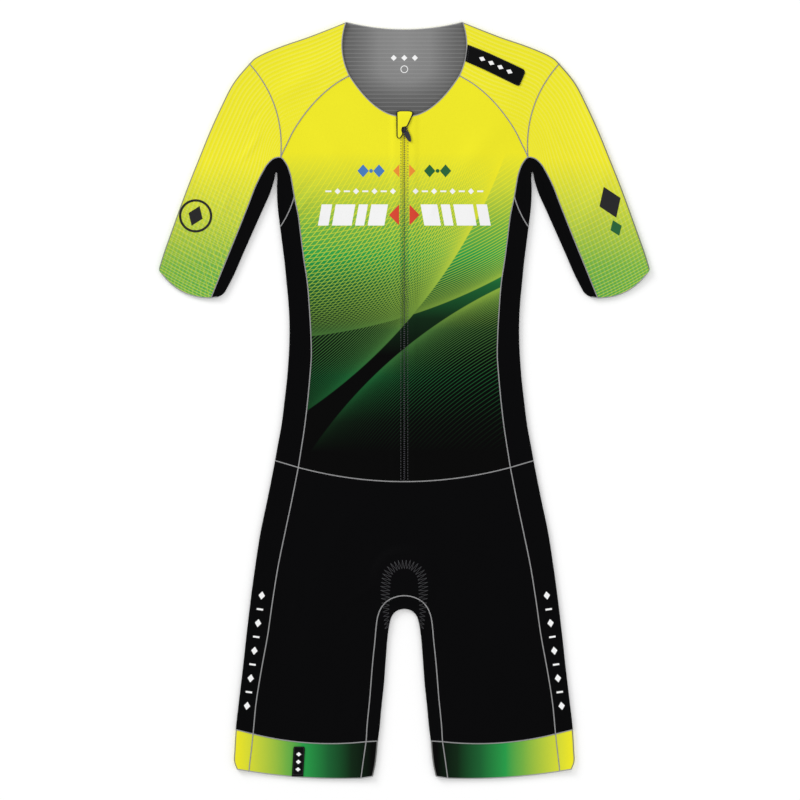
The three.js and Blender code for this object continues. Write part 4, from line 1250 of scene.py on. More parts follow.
def arc_group() -> bpy.types.NodeTree:
    """Fine arcs round a middle, as a mask: far apart at the near end, and closing up at the rim.

    Returns:
        The group, from a place and the arcs' sizes to the mask.
    """
    tree, graph, into, out = group_tree(
        "fine_arcs", {"Vector": "Vector", "Middle": "Vector", "Near": "Float", "Rim": "Float",
                      "Count": "Float", "Half Width": "Float"}, {"Lines": "Float"})
    near, rim, count = (into.outputs[name] for name in ("Near", "Rim", "Count"))
    flat = graph.node("ShaderNodeVectorMath", operation="MULTIPLY")
    graph.feed(flat.inputs[0], into.outputs["Vector"])
    graph.feed(flat.inputs[1], (1, 1, 0))
    reach = graph.node("ShaderNodeVectorMath", operation="DISTANCE")
    graph.feed(reach.inputs[0], flat.outputs[0])
    graph.feed(reach.inputs[1], into.outputs["Middle"])
    distance = reach.outputs["Value"]
    width = graph.maths("SUBTRACT", rim, near)
    depth = graph.maths("DIVIDE", graph.maths("SUBTRACT", rim, distance), width)
    root = graph.maths("SQRT", graph.maths("MAXIMUM", depth, ARC_LEAST_DEPTH))
    turn = graph.maths("PINGPONG", graph.maths("MULTIPLY", root, count), 0.5)
    share = graph.maths("DIVIDE", graph.maths("MULTIPLY", into.outputs["Half Width"], count), width)
    half = graph.maths("DIVIDE", share, graph.maths("MULTIPLY", root, 2.0))
    edge, core = (graph.maths("MULTIPLY", half, part) for part in (ARC_EDGE, ARC_CORE))
    line = graph.span(turn, edge, core)
    printed = graph.maths("MULTIPLY", graph.span(depth, 0.0, ARC_RIM), graph.span(depth, 1.0, ARC_FADE))
    graph.feed(out.inputs["Lines"], graph.maths("MULTIPLY", line, printed))
    return tree


KNIT = knit_group()
TONE = tone_group()
ARCS = arc_group()


def start_material(name: str) -> tuple[bpy.types.Material, Graph, bpy.types.Node, bpy.types.Node]:
    """An empty material.

    Args:
        name: Its name.

    Returns:
        The material, its graph, its shader and its texture coordinates.
    """
    made = bpy.data.materials.new(name)
    made.use_nodes = True
    graph = Graph(made.node_tree)
    return made, graph, made.node_tree.nodes["Principled BSDF"], graph.node("ShaderNodeTexCoord")


@dataclass(frozen=True)
class Cloth:
    """A knit cloth: how its colour is made and how its surface catches light."""

    name: str
    roughness: float = 0.82
    sheen: float = 0.03
    gloss: float = 0.05
    pitch: float = 0.9
    relief: float = 0.12
    # How strongly a fold's rolled edge is painted grey as shade
    fold_shade: float = 0.0

    SHEEN_ROUGHNESS = 0.5
    KNIT_DEPTH = 0.2
    # How far the painted shade in the knit's hollows and the dye's uneven tone darken the cloth
    HOLLOW_DARK, TONE_DARK = 0.14, 0.12
    # The grey of the painted shade along a fold's rolled edge
    FOLD_SHADE_TINT = colour(122, 122, 120)

    def shade(self, graph: Graph, place: bpy.types.Node) -> object:
        """The cloth's colour, from its place on the suit. Each cloth has its own."""
        raise NotImplementedError

    def material(self) -> bpy.types.Material:
        """The cloth's material, made once.

        Returns:
            The material.
        """
        if self.name in bpy.data.materials:
            return bpy.data.materials[self.name]
        made, graph, surface, place = start_material(self.name)
        knit = graph.group(KNIT, Vector=place.outputs["UV"], Pitch=self.pitch * METRE)
        tone = graph.group(TONE, Vector=place.outputs["Object"]).outputs["Tone"]
        shade = self.shade(graph, place)
        # Painted shade: a grey along the rolled edge of a fold, where the cloth turns away from the light
        if self.fold_shade:
            rib = graph.node("ShaderNodeAttribute", attribute_name="rib").outputs["Fac"]
            fold_edge_shade = graph.maths("MULTIPLY", graph.span(rib, 0.0, -1.0), self.fold_shade)
            shade = graph.mix(fold_edge_shade, shade, self.FOLD_SHADE_TINT)
        # Painted shade: the knit's hollows are darkened, on top of the dye's uneven tone
        hollow = graph.maths("MULTIPLY", knit.outputs["Hollow"], self.HOLLOW_DARK)
        darkening = graph.maths("MULTIPLY_ADD", tone, self.TONE_DARK, hollow)
        graph.feed(surface.inputs["Base Color"], graph.mix(darkening, shade, (0, 0, 0, 1)))
        surface.inputs["Roughness"].default_value = self.roughness
        surface.inputs["Sheen Weight"].default_value = self.sheen
        surface.inputs["Sheen Roughness"].default_value = self.SHEEN_ROUGHNESS
        surface.inputs["Specular IOR Level"].default_value = self.gloss
        graph.bump(surface, knit.outputs["Height"], self.relief, self.KNIT_DEPTH)
        return made


@dataclass(frozen=True)
class Arcs:
    """A family of fine printed arcs round a middle, in millimetres.

    near is the reach where they fade out and rim the reach where they close up. count is how many
    there are, and strength how strongly they are printed.
    """

    x: float
    y: float
    near: float
    rim: float
    count: float
    strength: float = 1.0


# Sweeps over the chest, up to the right and level, and a fan from the lower right
CHEST_ARCS = (
    Arcs(-520, 560, 330, 695, 88),
    Arcs(-200, 770, 430, 690, 62, 0.85),
    Arcs(400, -420, 330, 632, 78, 0.9),
)
# Arcs along both cuffs, and two more sweeps on the right sleeve
SLEEVE_ARCS = (
    Arcs(0, 700, 380, 650, 52, 0.8),
    Arcs(-700, 70, 360, 600, 40, 0.75),
    Arcs(-520, -240, 400, 640, 46, 0.75),
)

# The print's colours, and the heights in millimetres where it reaches them
YELLOW, LIME, SPROUT = colour(244, 237, 41), colour(206, 218, 60), colour(158, 192, 66)
LEAF, GREEN, FERN = colour(116, 180, 70), colour(42, 160, 75), colour(74, 118, 54)
FOREST, DEEP, BLACK = colour(28, 98, 50), colour(14, 40, 20), colour(2, 2, 2)
PRINT_TOP, PRINT_LOW = 345, -75
CHEST_GROUND = ((328, YELLOW), (284, LIME), (230, LEAF), (193, GREEN), (154, FOREST), (108, DEEP),
                (60, BLACK))
CHEST_INK = ((300, YELLOW), (215, LIME), (160, SPROUT), (93, FERN), (32, FOREST), (-28, DEEP),
             (-68, BLACK))
SLEEVE_GROUND = ((318, YELLOW), (262, LIME), (178, LEAF), (98, GREEN))
SLEEVE_INK = ((300, YELLOW), (185, LIME))

# The bands' colours, and the distances from the middle where they reach them
BAND_REACH = 240
BAND_GROUND = ((43, BLACK), (70, DEEP), (100, FOREST), (134, GREEN), (156, LEAF), (196, LIME),
               (220, YELLOW))


def print_share(y: float) -> float:
    """Where a height on the suit, in millimetres, lies on the print's ramps."""
    return (PRINT_TOP - y) / (PRINT_TOP - PRINT_LOW)


@dataclass(frozen=True)
class GroundPrint(Cloth):
    """The bright cloth, printed yellow at the top and running through green to black."""

    ground: Sequence[tuple[float, Colour]] = ()
    ink: Sequence[tuple[float, Colour]] = ()
    arcs: Sequence[Arcs] = ()
    line_half: float = 0.44
    # How strongly the ribs' crests are painted paler as a highlight
    crest_highlight_share: float = 0.0

    # How narrow the painted highlight on the ribs' crests is, and its tint
    RIB_SHARPNESS = 3.0
    RIB_TINT = colour(255, 255, 235)

    def shade(self, graph: Graph, place: bpy.types.Node) -> object:
        """The print's ground, its fine arcs, and a painted highlight on the ribs' crests.

        Args:
            graph: The material's graph.
            place: The node that gives the place.

        Returns:
            The colour.
        """
        spot = place.outputs["Object"]
        down = graph.span(graph.axis(spot, 1), PRINT_TOP * METRE, PRINT_LOW * METRE, "LINEAR")
        ground, ink = (graph.ramp(down, [(print_share(y), tint) for y, tint in stops])
                       for stops in (self.ground, self.ink))
        lines = 0.0
        for family in self.arcs:
            arcs = graph.group(ARCS, **{
                "Vector": spot, "Middle": (family.x * METRE, family.y * METRE, 0.0),
                "Near": family.near * METRE, "Rim": family.rim * METRE,
                "Count": family.count, "Half Width": self.line_half * METRE})
            strong = graph.maths("MULTIPLY", arcs.outputs["Lines"], family.strength)
            lines = graph.maths("MAXIMUM", lines, strong)
        printed = graph.mix(lines, ground, ink)
        if self.crest_highlight_share == 0:
            return printed
        # Painted highlight: the ribs' crests are made paler
        rib = graph.node("ShaderNodeAttribute", attribute_name="rib")
        top = graph.maths("POWER", graph.maths("MAXIMUM", rib.outputs["Fac"], 0.0), self.RIB_SHARPNESS)
        crest = graph.maths("MULTIPLY", top, self.crest_highlight_share)
        return graph.mix(crest, printed, self.RIB_TINT)


@dataclass(frozen=True)
class BandPrint(Cloth):
    """The leg bands, yellow at the outside and running through green to black inside."""

    def shade(self, graph: Graph, place: bpy.types.Node) -> object:
        """The band's colour across the leg."""
        out = graph.maths("ABSOLUTE", graph.axis(place.outputs["Object"], 0))
        share = graph.maths("DIVIDE", out, BAND_REACH * METRE)
        return graph.ramp(share, [(x / BAND_REACH, tint) for x, tint in BAND_GROUND])


@dataclass(frozen=True)
class PlainCloth(Cloth):
    """A cloth of one colour."""

    tint: Colour = colour(3, 3, 4)

    NAP_SHARE, NAP_GAIN = 0.5, 2

    def shade(self, graph: Graph, place: bpy.types.Node) -> object:
        """The cloth's one colour, a little paler in the light of its own nap."""
        broad = graph.group(TONE, Vector=place.outputs["Object"]).outputs["Tone"]
        paler = tuple(part * self.NAP_GAIN for part in self.tint[:3]) + (1.0,)
        return graph.mix(graph.maths("MULTIPLY", broad, self.NAP_SHARE), self.tint, paler)


# The grey inside: how far out and how far down from its high point its painted shade reaches, in
# millimetres, and its greys on the way
INSIDE_REACH, INSIDE_HIGH_Y, INSIDE_DEPTH = 90, 452, 75
INSIDE_STOPS = ((0.0, 140), (0.37, 134), (0.58, 117), (0.76, 104), (1.0, 95))


@dataclass(frozen=True)
class InsideCloth(Cloth):
    """The grey inside, with fine cross ribs, and painted shade that darkens it towards the shoulders."""

    rib_pitch: float = 5.4

    RIB_EDGE, RIB_CORE, RIB_SHARE = 0.17, 0.05, 0.2
    RIB_TINT = colour(178, 178, 178)

    def shade(self, graph: Graph, place: bpy.types.Node) -> object:
        """The inside's grey, darkened outwards and downwards as painted shade, and its paler ribs.

        Args:
            graph: The material's graph.
            place: The node that gives the place.

        Returns:
            The colour.
        """
        spot = place.outputs["Object"]
        # Painted shade: the grey darkens away from its high point behind the neck
        out = graph.maths("DIVIDE", graph.axis(spot, 0), INSIDE_REACH * METRE)
        low_y = INSIDE_HIGH_Y - INSIDE_DEPTH
        down = graph.span(graph.axis(spot, 1), INSIDE_HIGH_Y * METRE, low_y * METRE)
        squares = graph.maths("MULTIPLY_ADD", out, out, graph.maths("MULTIPLY", down, down))
        grey = graph.ramp(graph.maths("SQRT", squares), [
            (share, colour(part, part, part)) for share, part in INSIDE_STOPS])
        rows = graph.maths("DIVIDE", graph.axis(spot, 1), self.rib_pitch * METRE)
        rib = graph.span(graph.maths("PINGPONG", rows, 0.5), self.RIB_EDGE, self.RIB_CORE)
        return graph.mix(graph.maths("MULTIPLY", rib, self.RIB_SHARE), grey, self.RIB_TINT)


@dataclass(frozen=True)
class Yarn:
    """A sewing thread, print film or other small plain finish."""

    name: str
    tint: Colour
    roughness: float = 0.7
    metallic: float = 0.0
    twist: float = 0.5
    sheen: float = 0.0
    gloss: float = 0.3

    PLY_LENGTH, PLY_DEPTH = 0.9, 0.1
    WEAR_SHARE, WEAR_DARK = 0.5, 0.7

    def material(self) -> bpy.types.Material:
        """The finish's material, made once.

        Returns:
            The material.
        """
        if self.name in bpy.data.materials:
            return bpy.data.materials[self.name]
        made, graph, surface, place = start_material(self.name)
        tone = graph.group(TONE, Vector=place.outputs["Object"]).outputs["Tone"]
        darker = tuple(part * self.WEAR_DARK for part in self.tint[:3]) + (1.0,)
        darkening = graph.maths("MULTIPLY", tone, self.WEAR_SHARE)
        graph.feed(surface.inputs["Base Color"], graph.mix(darkening, self.tint, darker))
        surface.inputs["Roughness"].default_value = self.roughness
        surface.inputs["Metallic"].default_value = self.metallic
        surface.inputs["Sheen Weight"].default_value = self.sheen
        surface.inputs["Specular IOR Level"].default_value = self.gloss
        turns = 2 * math.pi / (self.PLY_LENGTH * METRE)
        plies = graph.maths("SINE", graph.maths("MULTIPLY", graph.axis(place.outputs["UV"], 1), turns))
        graph.bump(surface, plies, self.twist, self.PLY_DEPTH)
        return made


BRIGHT_CLOTH = GroundPrint("bright_print", ground=CHEST_GROUND, ink=CHEST_INK, arcs=CHEST_ARCS)
TAPE_CLOTH = GroundPrint("tape_print", pitch=0.6, ground=CHEST_GROUND, ink=CHEST_INK, arcs=CHEST_ARCS)
BACK_CLOTH = GroundPrint("bright_back", ground=CHEST_GROUND, ink=CHEST_GROUND)
RIBBED_CLOTH = GroundPrint("bright_ribbed", pitch=0.8, ground=SLEEVE_GROUND, ink=SLEEVE_INK,
                           arcs=SLEEVE_ARCS, crest_highlight_share=0.09, fold_shade=0.92)
DARK_CLOTH = PlainCloth("black_knit", roughness=0.7, sheen=0.01, gloss=0.04, pitch=0.8)
INSIDE_CLOTH = InsideCloth("grey_inside", roughness=0.88, sheen=0.1, pitch=1.1)
BAND_CLOTH = BandPrint("band_print", roughness=0.74, pitch=0.7, fold_shade=0.92)
SEAM_YARN = Yarn("grey_seam_yarn", colour(166, 166, 167))
EDGE_YARN = Yarn("grey_edge_yarn", colour(160, 160, 161))
BINDING = Yarn("flap_binding", colour(30, 30, 34), twist=0.0, gloss=0.08)
ZIP_YARN = Yarn("zip_yarn", colour(84, 84, 88))
PAD_YARN = Yarn("pad_yarn", colour(70, 70, 73))
TOOTH_FINISH = Yarn("zip_teeth", colour(80, 79, 86), roughness=0.45, twist=0.1)
METAL_FINISH = Yarn("painted_metal", colour(58, 58, 66), roughness=0.38, metallic=0.6, twist=0.0)
FOAM_FINISH = Yarn("pad_foam", colour(44, 44, 47), roughness=0.95, twist=0.2, sheen=0.2)
LABEL_FINISH = Yarn("smooth_label", colour(4, 4, 5), roughness=0.55, twist=0.15, gloss=0.08)


def place_piece(piece: bpy.types.Object, finishes: Sequence[Cloth | Yarn], slot: str,
                *nodes: str) -> bpy.types.Object:
    """Dresses a piece, rides it on the suit and hides the CAD nodes that it stands for.

    Args:
        piece: The piece.
        finishes: Its finishes, the outer one first.
        slot: The record's material slot. It is not used.
        nodes: The CAD nodes that it replaces.

    Returns:
        The piece.
    """
    for finish in finishes:
        piece.data.materials.append(finish.material())
    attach(piece, "suit")
    if nodes:
        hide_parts(*nodes)
    log.info("%s: %d faces", piece.name, len(piece.data.polygons))
    return piece


def sewn_cloth(name: str, form: FoldedCloth | PanelCloth, finish: Cloth, slot: str) -> bpy.types.Object:
    """Args:
        name: The piece's CAD node, which it replaces.
        form: Its form.
        finish: The finish of its outer face.
        slot: The record's material slot.

    Returns:
        The piece.
    """
    weave = Weave()
    form.add_to(weave)
    piece = weave.mesh(f"{name}_cloth")
    place_piece(piece, (finish, INSIDE_CLOTH), slot, name)
    width, length, area = form.cut()
    return piece


def sewn_pair(name: str, form: FoldedCloth | PanelCloth, finish: Cloth, slot: str) -> None:
    """Makes one sewn piece on each side of the suit.

    Args:
        name: The CAD nodes' shared name.
        form: The piece's form on the wearer's left.
        finish: The finish of its outer face.
        slot: The record's material slot.
    """
    for side in Side:
        sewn_cloth(f"{name}_{side.name.lower()}", form.on(side), finish, slot)


@dataclass
class Torso:
    """The two chest panels and the one back panel."""

    def build(self) -> None:
        """Builds the panels."""
        front = PanelCloth(inset(torso_grid(Layer.FRONT), near=False), Layer.FRONT)
        half = torso_grid(Layer.BACK)
        whole = np.hstack([half[:, :0:-1] * (-1, 1), half])
        back = PanelCloth(inset(whole), Layer.BACK)
        sewn_cloth("back", back, BACK_CLOTH, "inside_cloth")
        sewn_pair("front", front, BRIGHT_CLOTH, "bright_cloth")


@dataclass
class Shoulders:
    """The ribbed yokes and sleeves."""

    def build(self) -> None:
        """Builds the yokes and the sleeves."""
        for name in ("yoke", "sleeve"):
            sewn_pair(name, FORMS[name], RIBBED_CLOTH, "bright_cloth")


@dataclass
class Sides:
    """The black strips down the sleeves' undersides, the armpits, the sides and the legs."""

    def build(self) -> None:
        """Builds the strips."""
        for name in ("underarm", "side", "shorts_side"):
            sewn_pair(name, FORMS[name], DARK_CLOTH, "dark_cloth")


@dataclass
class Shorts:
    """The legs' front and back, the inner-leg gusset and the seat pad."""

    pad_bottom: float = 1.6
    pad_edge: float = 0.2
    pad_crown: float = 2.9
    pad_fall: float = 0.96
    pad_rings: int = 14
    pad_spokes: int = 72
    pad_first_ring: float = 0.02

    def build(self) -> None:
        """Builds the shorts."""
        grid = inset(shorts_grid())
        sewn_cloth("shorts_back", PanelCloth(grid, Layer.BACK), DARK_CLOTH, "dark_cloth")
        sewn_cloth("shorts_front", PanelCloth(grid, Layer.FRONT), DARK_CLOTH, "dark_cloth")
        first, last = MIDDLE_KNOT - HALF_KNOTS, MIDDLE_KNOT + HALF_KNOTS
        sewn_cloth("inner_gusset", strip(INNER_FOLD, GUSSET_SEAM, first, last, first), DARK_CLOTH,
                   "dark_cloth")
        self.build_pad()

    def build_pad(self) -> None:
        """Builds the crowned seat pad between the layers."""
        share = np.linspace(self.pad_first_ring, 1, self.pad_rings)[:, None]
        angle = np.linspace(0, 2 * math.pi, self.pad_spokes)[None]
        plan = np.dstack([PAD_X + PAD_HALF_WIDTH * share * np.cos(angle),
                          PAD_Y + PAD_HALF_LENGTH * share * np.sin(angle)])
        crown = self.pad_bottom + self.pad_edge + self.pad_crown * np.sqrt(1 - self.pad_fall * share ** 2)
        weave = Weave()
        weave.wall(raised(plan, crown), raised(plan, self.pad_bottom))
        pad = place_piece(weave.mesh("seat_pad_foam"), (FOAM_FINISH, FOAM_FINISH), "padding", "chamois_pad")


@dataclass
class LegBands:
    """The printed bands round the ends of the legs."""

    def build(self) -> None:
        """Builds four pieces to a leg."""
        grid = inset(band_grid(), end=False)
        for layer in (Layer.BACK, Layer.FRONT):
            sewn_pair(f"band_{layer.value}", PanelCloth(grid, layer), BAND_CLOTH, "band_cloth")
        for name in ("band_outer", "band_inner"):
            sewn_pair(name, FORMS[name], BAND_CLOTH, "band_cloth")


@dataclass
class Zip:
    """The zip: two tapes, coil teeth, stitching, slider, pull and the flap over its top."""

    tape_columns: int = 6
    tape_steps: int = 160
    tooth_pitch: float = 2.6
    tooth_radius: float = 0.27
    tooth_sides: int = 6
    first_tooth: float = 1.5
    teeth_top_y: float = 352.6
    stitch_x: float = 4.6
    stitch_length: float = 2.1
    stitch_pitch: float = 3.9
    stitch_rise: float = 0.38
    stitch_radius: float = 0.36
    stitch_top_y: float = 371.0
    waist_gap: float = 2.0
    flap_wall: float = 1.0
    flap_fall: float = 0.25
    flap_columns: int = 17
    flap_steps: int = 4
    piping_half: float = 1.0
    piping_height: float = 0.42
    piping_spacing: float = 0.8
    piping_sides: int = 8
    bevel: float = 0.16
    bevel_segments: int = 2
    bevel_angle: float = 40

    # A tooth's middle line, from its root on the tape over the gap: x and z
    TOOTH = ((1.25, 2.5), (0.95, 2.8), (0.4, 2.92), (-0.4, 2.85))

    def build(self) -> None:
        """Builds the zip."""
        for side in Side:
            self.build_tape(side)
        self.build_teeth()
        self.build_stitches()
        self.build_flap()
        self.dress_metal()

    def build_tape(self, side: Side) -> None:
        """Builds one woven tape.

        Args:
            side: Which side of the zip.
        """
        x = np.linspace(TAPE_SPLIT, TAPE_HALF, self.tape_columns) * side.value
        y = np.linspace(TAPE_LOW_Y, TAPE_HIGH_Y, self.tape_steps + 1)
        plan = np.dstack(np.meshgrid(x, y))
        weave = Weave()
        weave.wall(raised(plan, TAPE_TOP), raised(plan, TAPE_BOTTOM))
        name = f"zip_tape_{side.name.lower()}"
        tape = place_piece(weave.mesh(f"{name}_cloth"), (TAPE_CLOTH, TAPE_CLOTH), "zip_tape", name)

    def build_teeth(self) -> None:
        """Builds the teeth, locked in pairs, one from each side."""
        weave = Weave()
        arch = np.array(self.TOOTH)
        up = np.tile((0.0, 0.0, 1.0), (len(arch), 1))
        for y in np.arange(TAPE_LOW_Y + self.first_tooth, self.teeth_top_y, self.tooth_pitch):
            for side in Side:
                row = np.full(len(arch), y + side.value * self.tooth_radius)
                points = np.column_stack([arch[:, 0] * side.value, row, arch[:, 1]])
                weave.thread(points, up, self.tooth_radius, self.tooth_radius, self.tooth_sides)
        place_piece(weave.mesh("zip_teeth"), (TOOTH_FINISH,), "zip_tape")

    def build_stitches(self) -> None:
        """Builds the row of stitches down each panel's zip edge."""
        weave = Weave()
        heights = (WAIST_Y + self.waist_gap, self.stitch_top_y)
        for side in Side:
            row = plan_path(np.array([(self.stitch_x * side.value, y) for y in heights])).resampled(1.0)
            stitch_row(weave, row, self.stitch_length, self.stitch_pitch, self.stitch_rise,
                       self.stitch_radius)
        place_piece(weave.mesh("zip_stitches"), (ZIP_YARN,), "zip_tape")

    def build_flap(self) -> None:
        """Builds the flap over the zip's top, with a dark piped edge."""
        last = len(FLAP["y"]) - 1
        knots = np.linspace(0, last, last * self.flap_steps + 1)
        left, right = (Line(np.column_stack([FLAP[edge], FLAP["y"]])).at(knots)
                       for edge in ("left", "right"))
        share = np.linspace(0, 1, self.flap_columns)[None, :, None]
        plan = (1 - share) * left[:, None] + share * right[:, None]
        under = np.interp(knots, np.arange(last + 1), FLAP["under"])[:, None]
        fall = self.flap_fall * np.abs(2 * share[..., 0] - 1) ** 4
        weave = Weave()
        weave.wall(raised(plan, under + self.flap_wall - fall), raised(plan, under))
        flap = place_piece(weave.mesh("zip_flap"), (BRIGHT_CLOTH, BRIGHT_CLOTH), "bright_cloth", "zip_garage")
        rim = rim_of(raised(plan, under + self.flap_wall - self.piping_height), len(knots) // 2)
        up = np.tile((0.0, 0.0, 1.0), (len(rim), 1))
        path = Path3D(rim, up, on_cloth=False).resampled(self.piping_spacing)
        piping = Weave()
        piping.thread(path.points, path.normals, self.piping_half, self.piping_height, self.piping_sides)
        place_piece(piping.mesh("zip_flap_piping"), (BINDING,), "bright_cloth")

    def dress_metal(self) -> None:
        """Dresses the slider and the pull, and softens their edges."""
        for name in ("zip_slider", "zip_pull"):
            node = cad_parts[name]
            node.data.materials.clear()
            node.data.materials.append(METAL_FINISH.material())
            soften = node.modifiers.new("soft_edges", "BEVEL")
            soften.width = self.bevel * METRE
            soften.segments = self.bevel_segments
            soften.limit_method = "ANGLE"
            soften.angle_limit = math.radians(self.bevel_angle)


# The zip's flap, hollowed on its right beside the pull. under is the height of its underside.
FLAP = table("y left right under", [
    (347.2, -8.1, -5.6, 4.35),
    (348.6, -9.1, -4.5, 4.35),
    (352.2, -9.3, -2.4, 4.35),
    (354, -9.35, -2.4, 4.35),
    (356.4, -9.4, -3.3, 4.35),
    (358.8, -9.4, -3.3, 4.5),
    (360.2, -9.45, -2.8, 4.7),
    (361.6, -9.5, -2, 4.75),
    (362.2, -9.5, 3, 4.75),
    (364.4, -9.5, 4.5, 4.75),
    (369, -9.55, 6.7, 4.6),
    (374, -9.6, 9, 4.4),
    (378, -9.65, 10.7, 3.9),
    (380.6, -9.6, 10.9, 2.9),
    (382.2, -6.8, 7.6, 1.9),
])


def rim_of(grid: np.ndarray, start: int = 0) -> np.ndarray:
    """The rim of a grid of points, as a closed loop.

    Args:
        grid: The grid.
        start: The row on its first column where the loop starts and ends.

    Returns:
        The loop's points.
    """
    loop = [grid[start:, 0], grid[-1, 1:], grid[-2::-1, -1], grid[0, -2::-1], grid[1:start + 1, 0]]
    return np.vstack(loop)


# How a stitch rises out of the cloth, as shares of its height, and where a row's first one starts
STITCH_RISE = (-0.2, 0.8, 1.0, 0.8, -0.2)
FIRST_STITCH = 0.3


def stitch_row(weave: Weave, path: Path3D, length: float, pitch: float, lift: float,
               radius: float) -> None:
    """Adds a row of running stitches.

    Args:
        weave: What the stitches are added to.
        path: The line that they follow.
        length: A stitch's length.
        pitch: The distance from one stitch to the next.
        lift: How far a stitch's middle stands off the cloth.
        radius: The thread's radius.
    """
    steps = np.linalg.norm(np.diff(path.points, axis=0), axis=1)
    reach = np.concatenate([[0], np.cumsum(steps)])
    rise = np.array(STITCH_RISE) * lift
    for start in np.arange(FIRST_STITCH, reach[-1] - length, pitch):
        at = start + length * np.linspace(0, 1, len(rise))
        points, normals = (np.column_stack([np.interp(at, reach, column) for column in grid.T])
                           for grid in (path.points, path.normals))
        weave.thread(points + normals * rise[:, None], normals, radius, radius)


@dataclass
class Labels:
    """The black strip on the left yoke and the black tab on the right leg band."""

    wall: float = 0.85
    rows: int = 49
    columns: int = 12
    border: float = 1.6
    stitch_length: float = 2.0
    stitch_pitch: float = 3.0
    stitch_rise: float = 0.16
    stitch_radius: float = 0.2

    def build(self) -> None:
        """Builds the two labels and their stitched borders."""
        sewing = Weave()
        for name, ends, lift in (("shoulder_badge", BADGE, BADGE_LIFT), ("hem_tab", TAB, TAB_LIFT)):
            knots = np.linspace(0, len(ends["lowX"]) - 1, self.rows)
            low, high = (np.column_stack([between(ends[f"{edge}{axis}"], knots) for axis in "XY"])
                         for edge in ("low", "high"))
            share = np.linspace(0, 1, self.columns)[None, :, None]
            plan = (1 - share) * low[:, None] + share * high[:, None]
            top = cloth_top(plan[..., 0], plan[..., 1]) + lift
            weave = Weave()
            weave.wall(raised(plan, top), raised(plan, top - self.wall))
            label = place_piece(weave.mesh(f"{name}_label"), (LABEL_FINISH, LABEL_FINISH), "label", name)
            shrink = 1 - 2 * self.border / np.ptp(plan, axis=(0, 1))
            middle = plan.reshape(-1, 2).mean(0)
            path = plan_path(rim_of(middle + (plan - middle) * shrink))
            path.points[:, 2] += lift
            stitch_row(sewing, path, self.stitch_length, self.stitch_pitch, self.stitch_rise,
                       self.stitch_radius)
        place_piece(sewing.mesh("label_stitches"), (PAD_YARN,), "label")


# How far the labels' faces stand over the cloth, and the labels' lower and upper edges
TAB_LIFT = 0.9
BADGE_LIFT = RIB_HEIGHT + TAB_LIFT
BADGE = table("lowX lowY highX highY", [
    (80.8, 448.3, 84, 470.4),
    (104, 438, 109, 460.4),
    (126.5, 427.2, 132.8, 449.6),
    (147, 417.2, 155, 439.2),
    (150.4, 416.2, 157.8, 437.4),
    (152.6, 416.6, 159.2, 435.4),
    (153.6, 418.6, 159.6, 432.8),
])
TAB = table("lowX lowY highX highY", [
    (-148.8, -497.2, -133.6, -497.2),
    (-147.8, -480, -132.6, -480),
    (-146.8, -463, -131.6, -463),
    (-146.6, -460, -131.6, -460),
    (-145.4, -457.8, -132.8, -457.8),
])


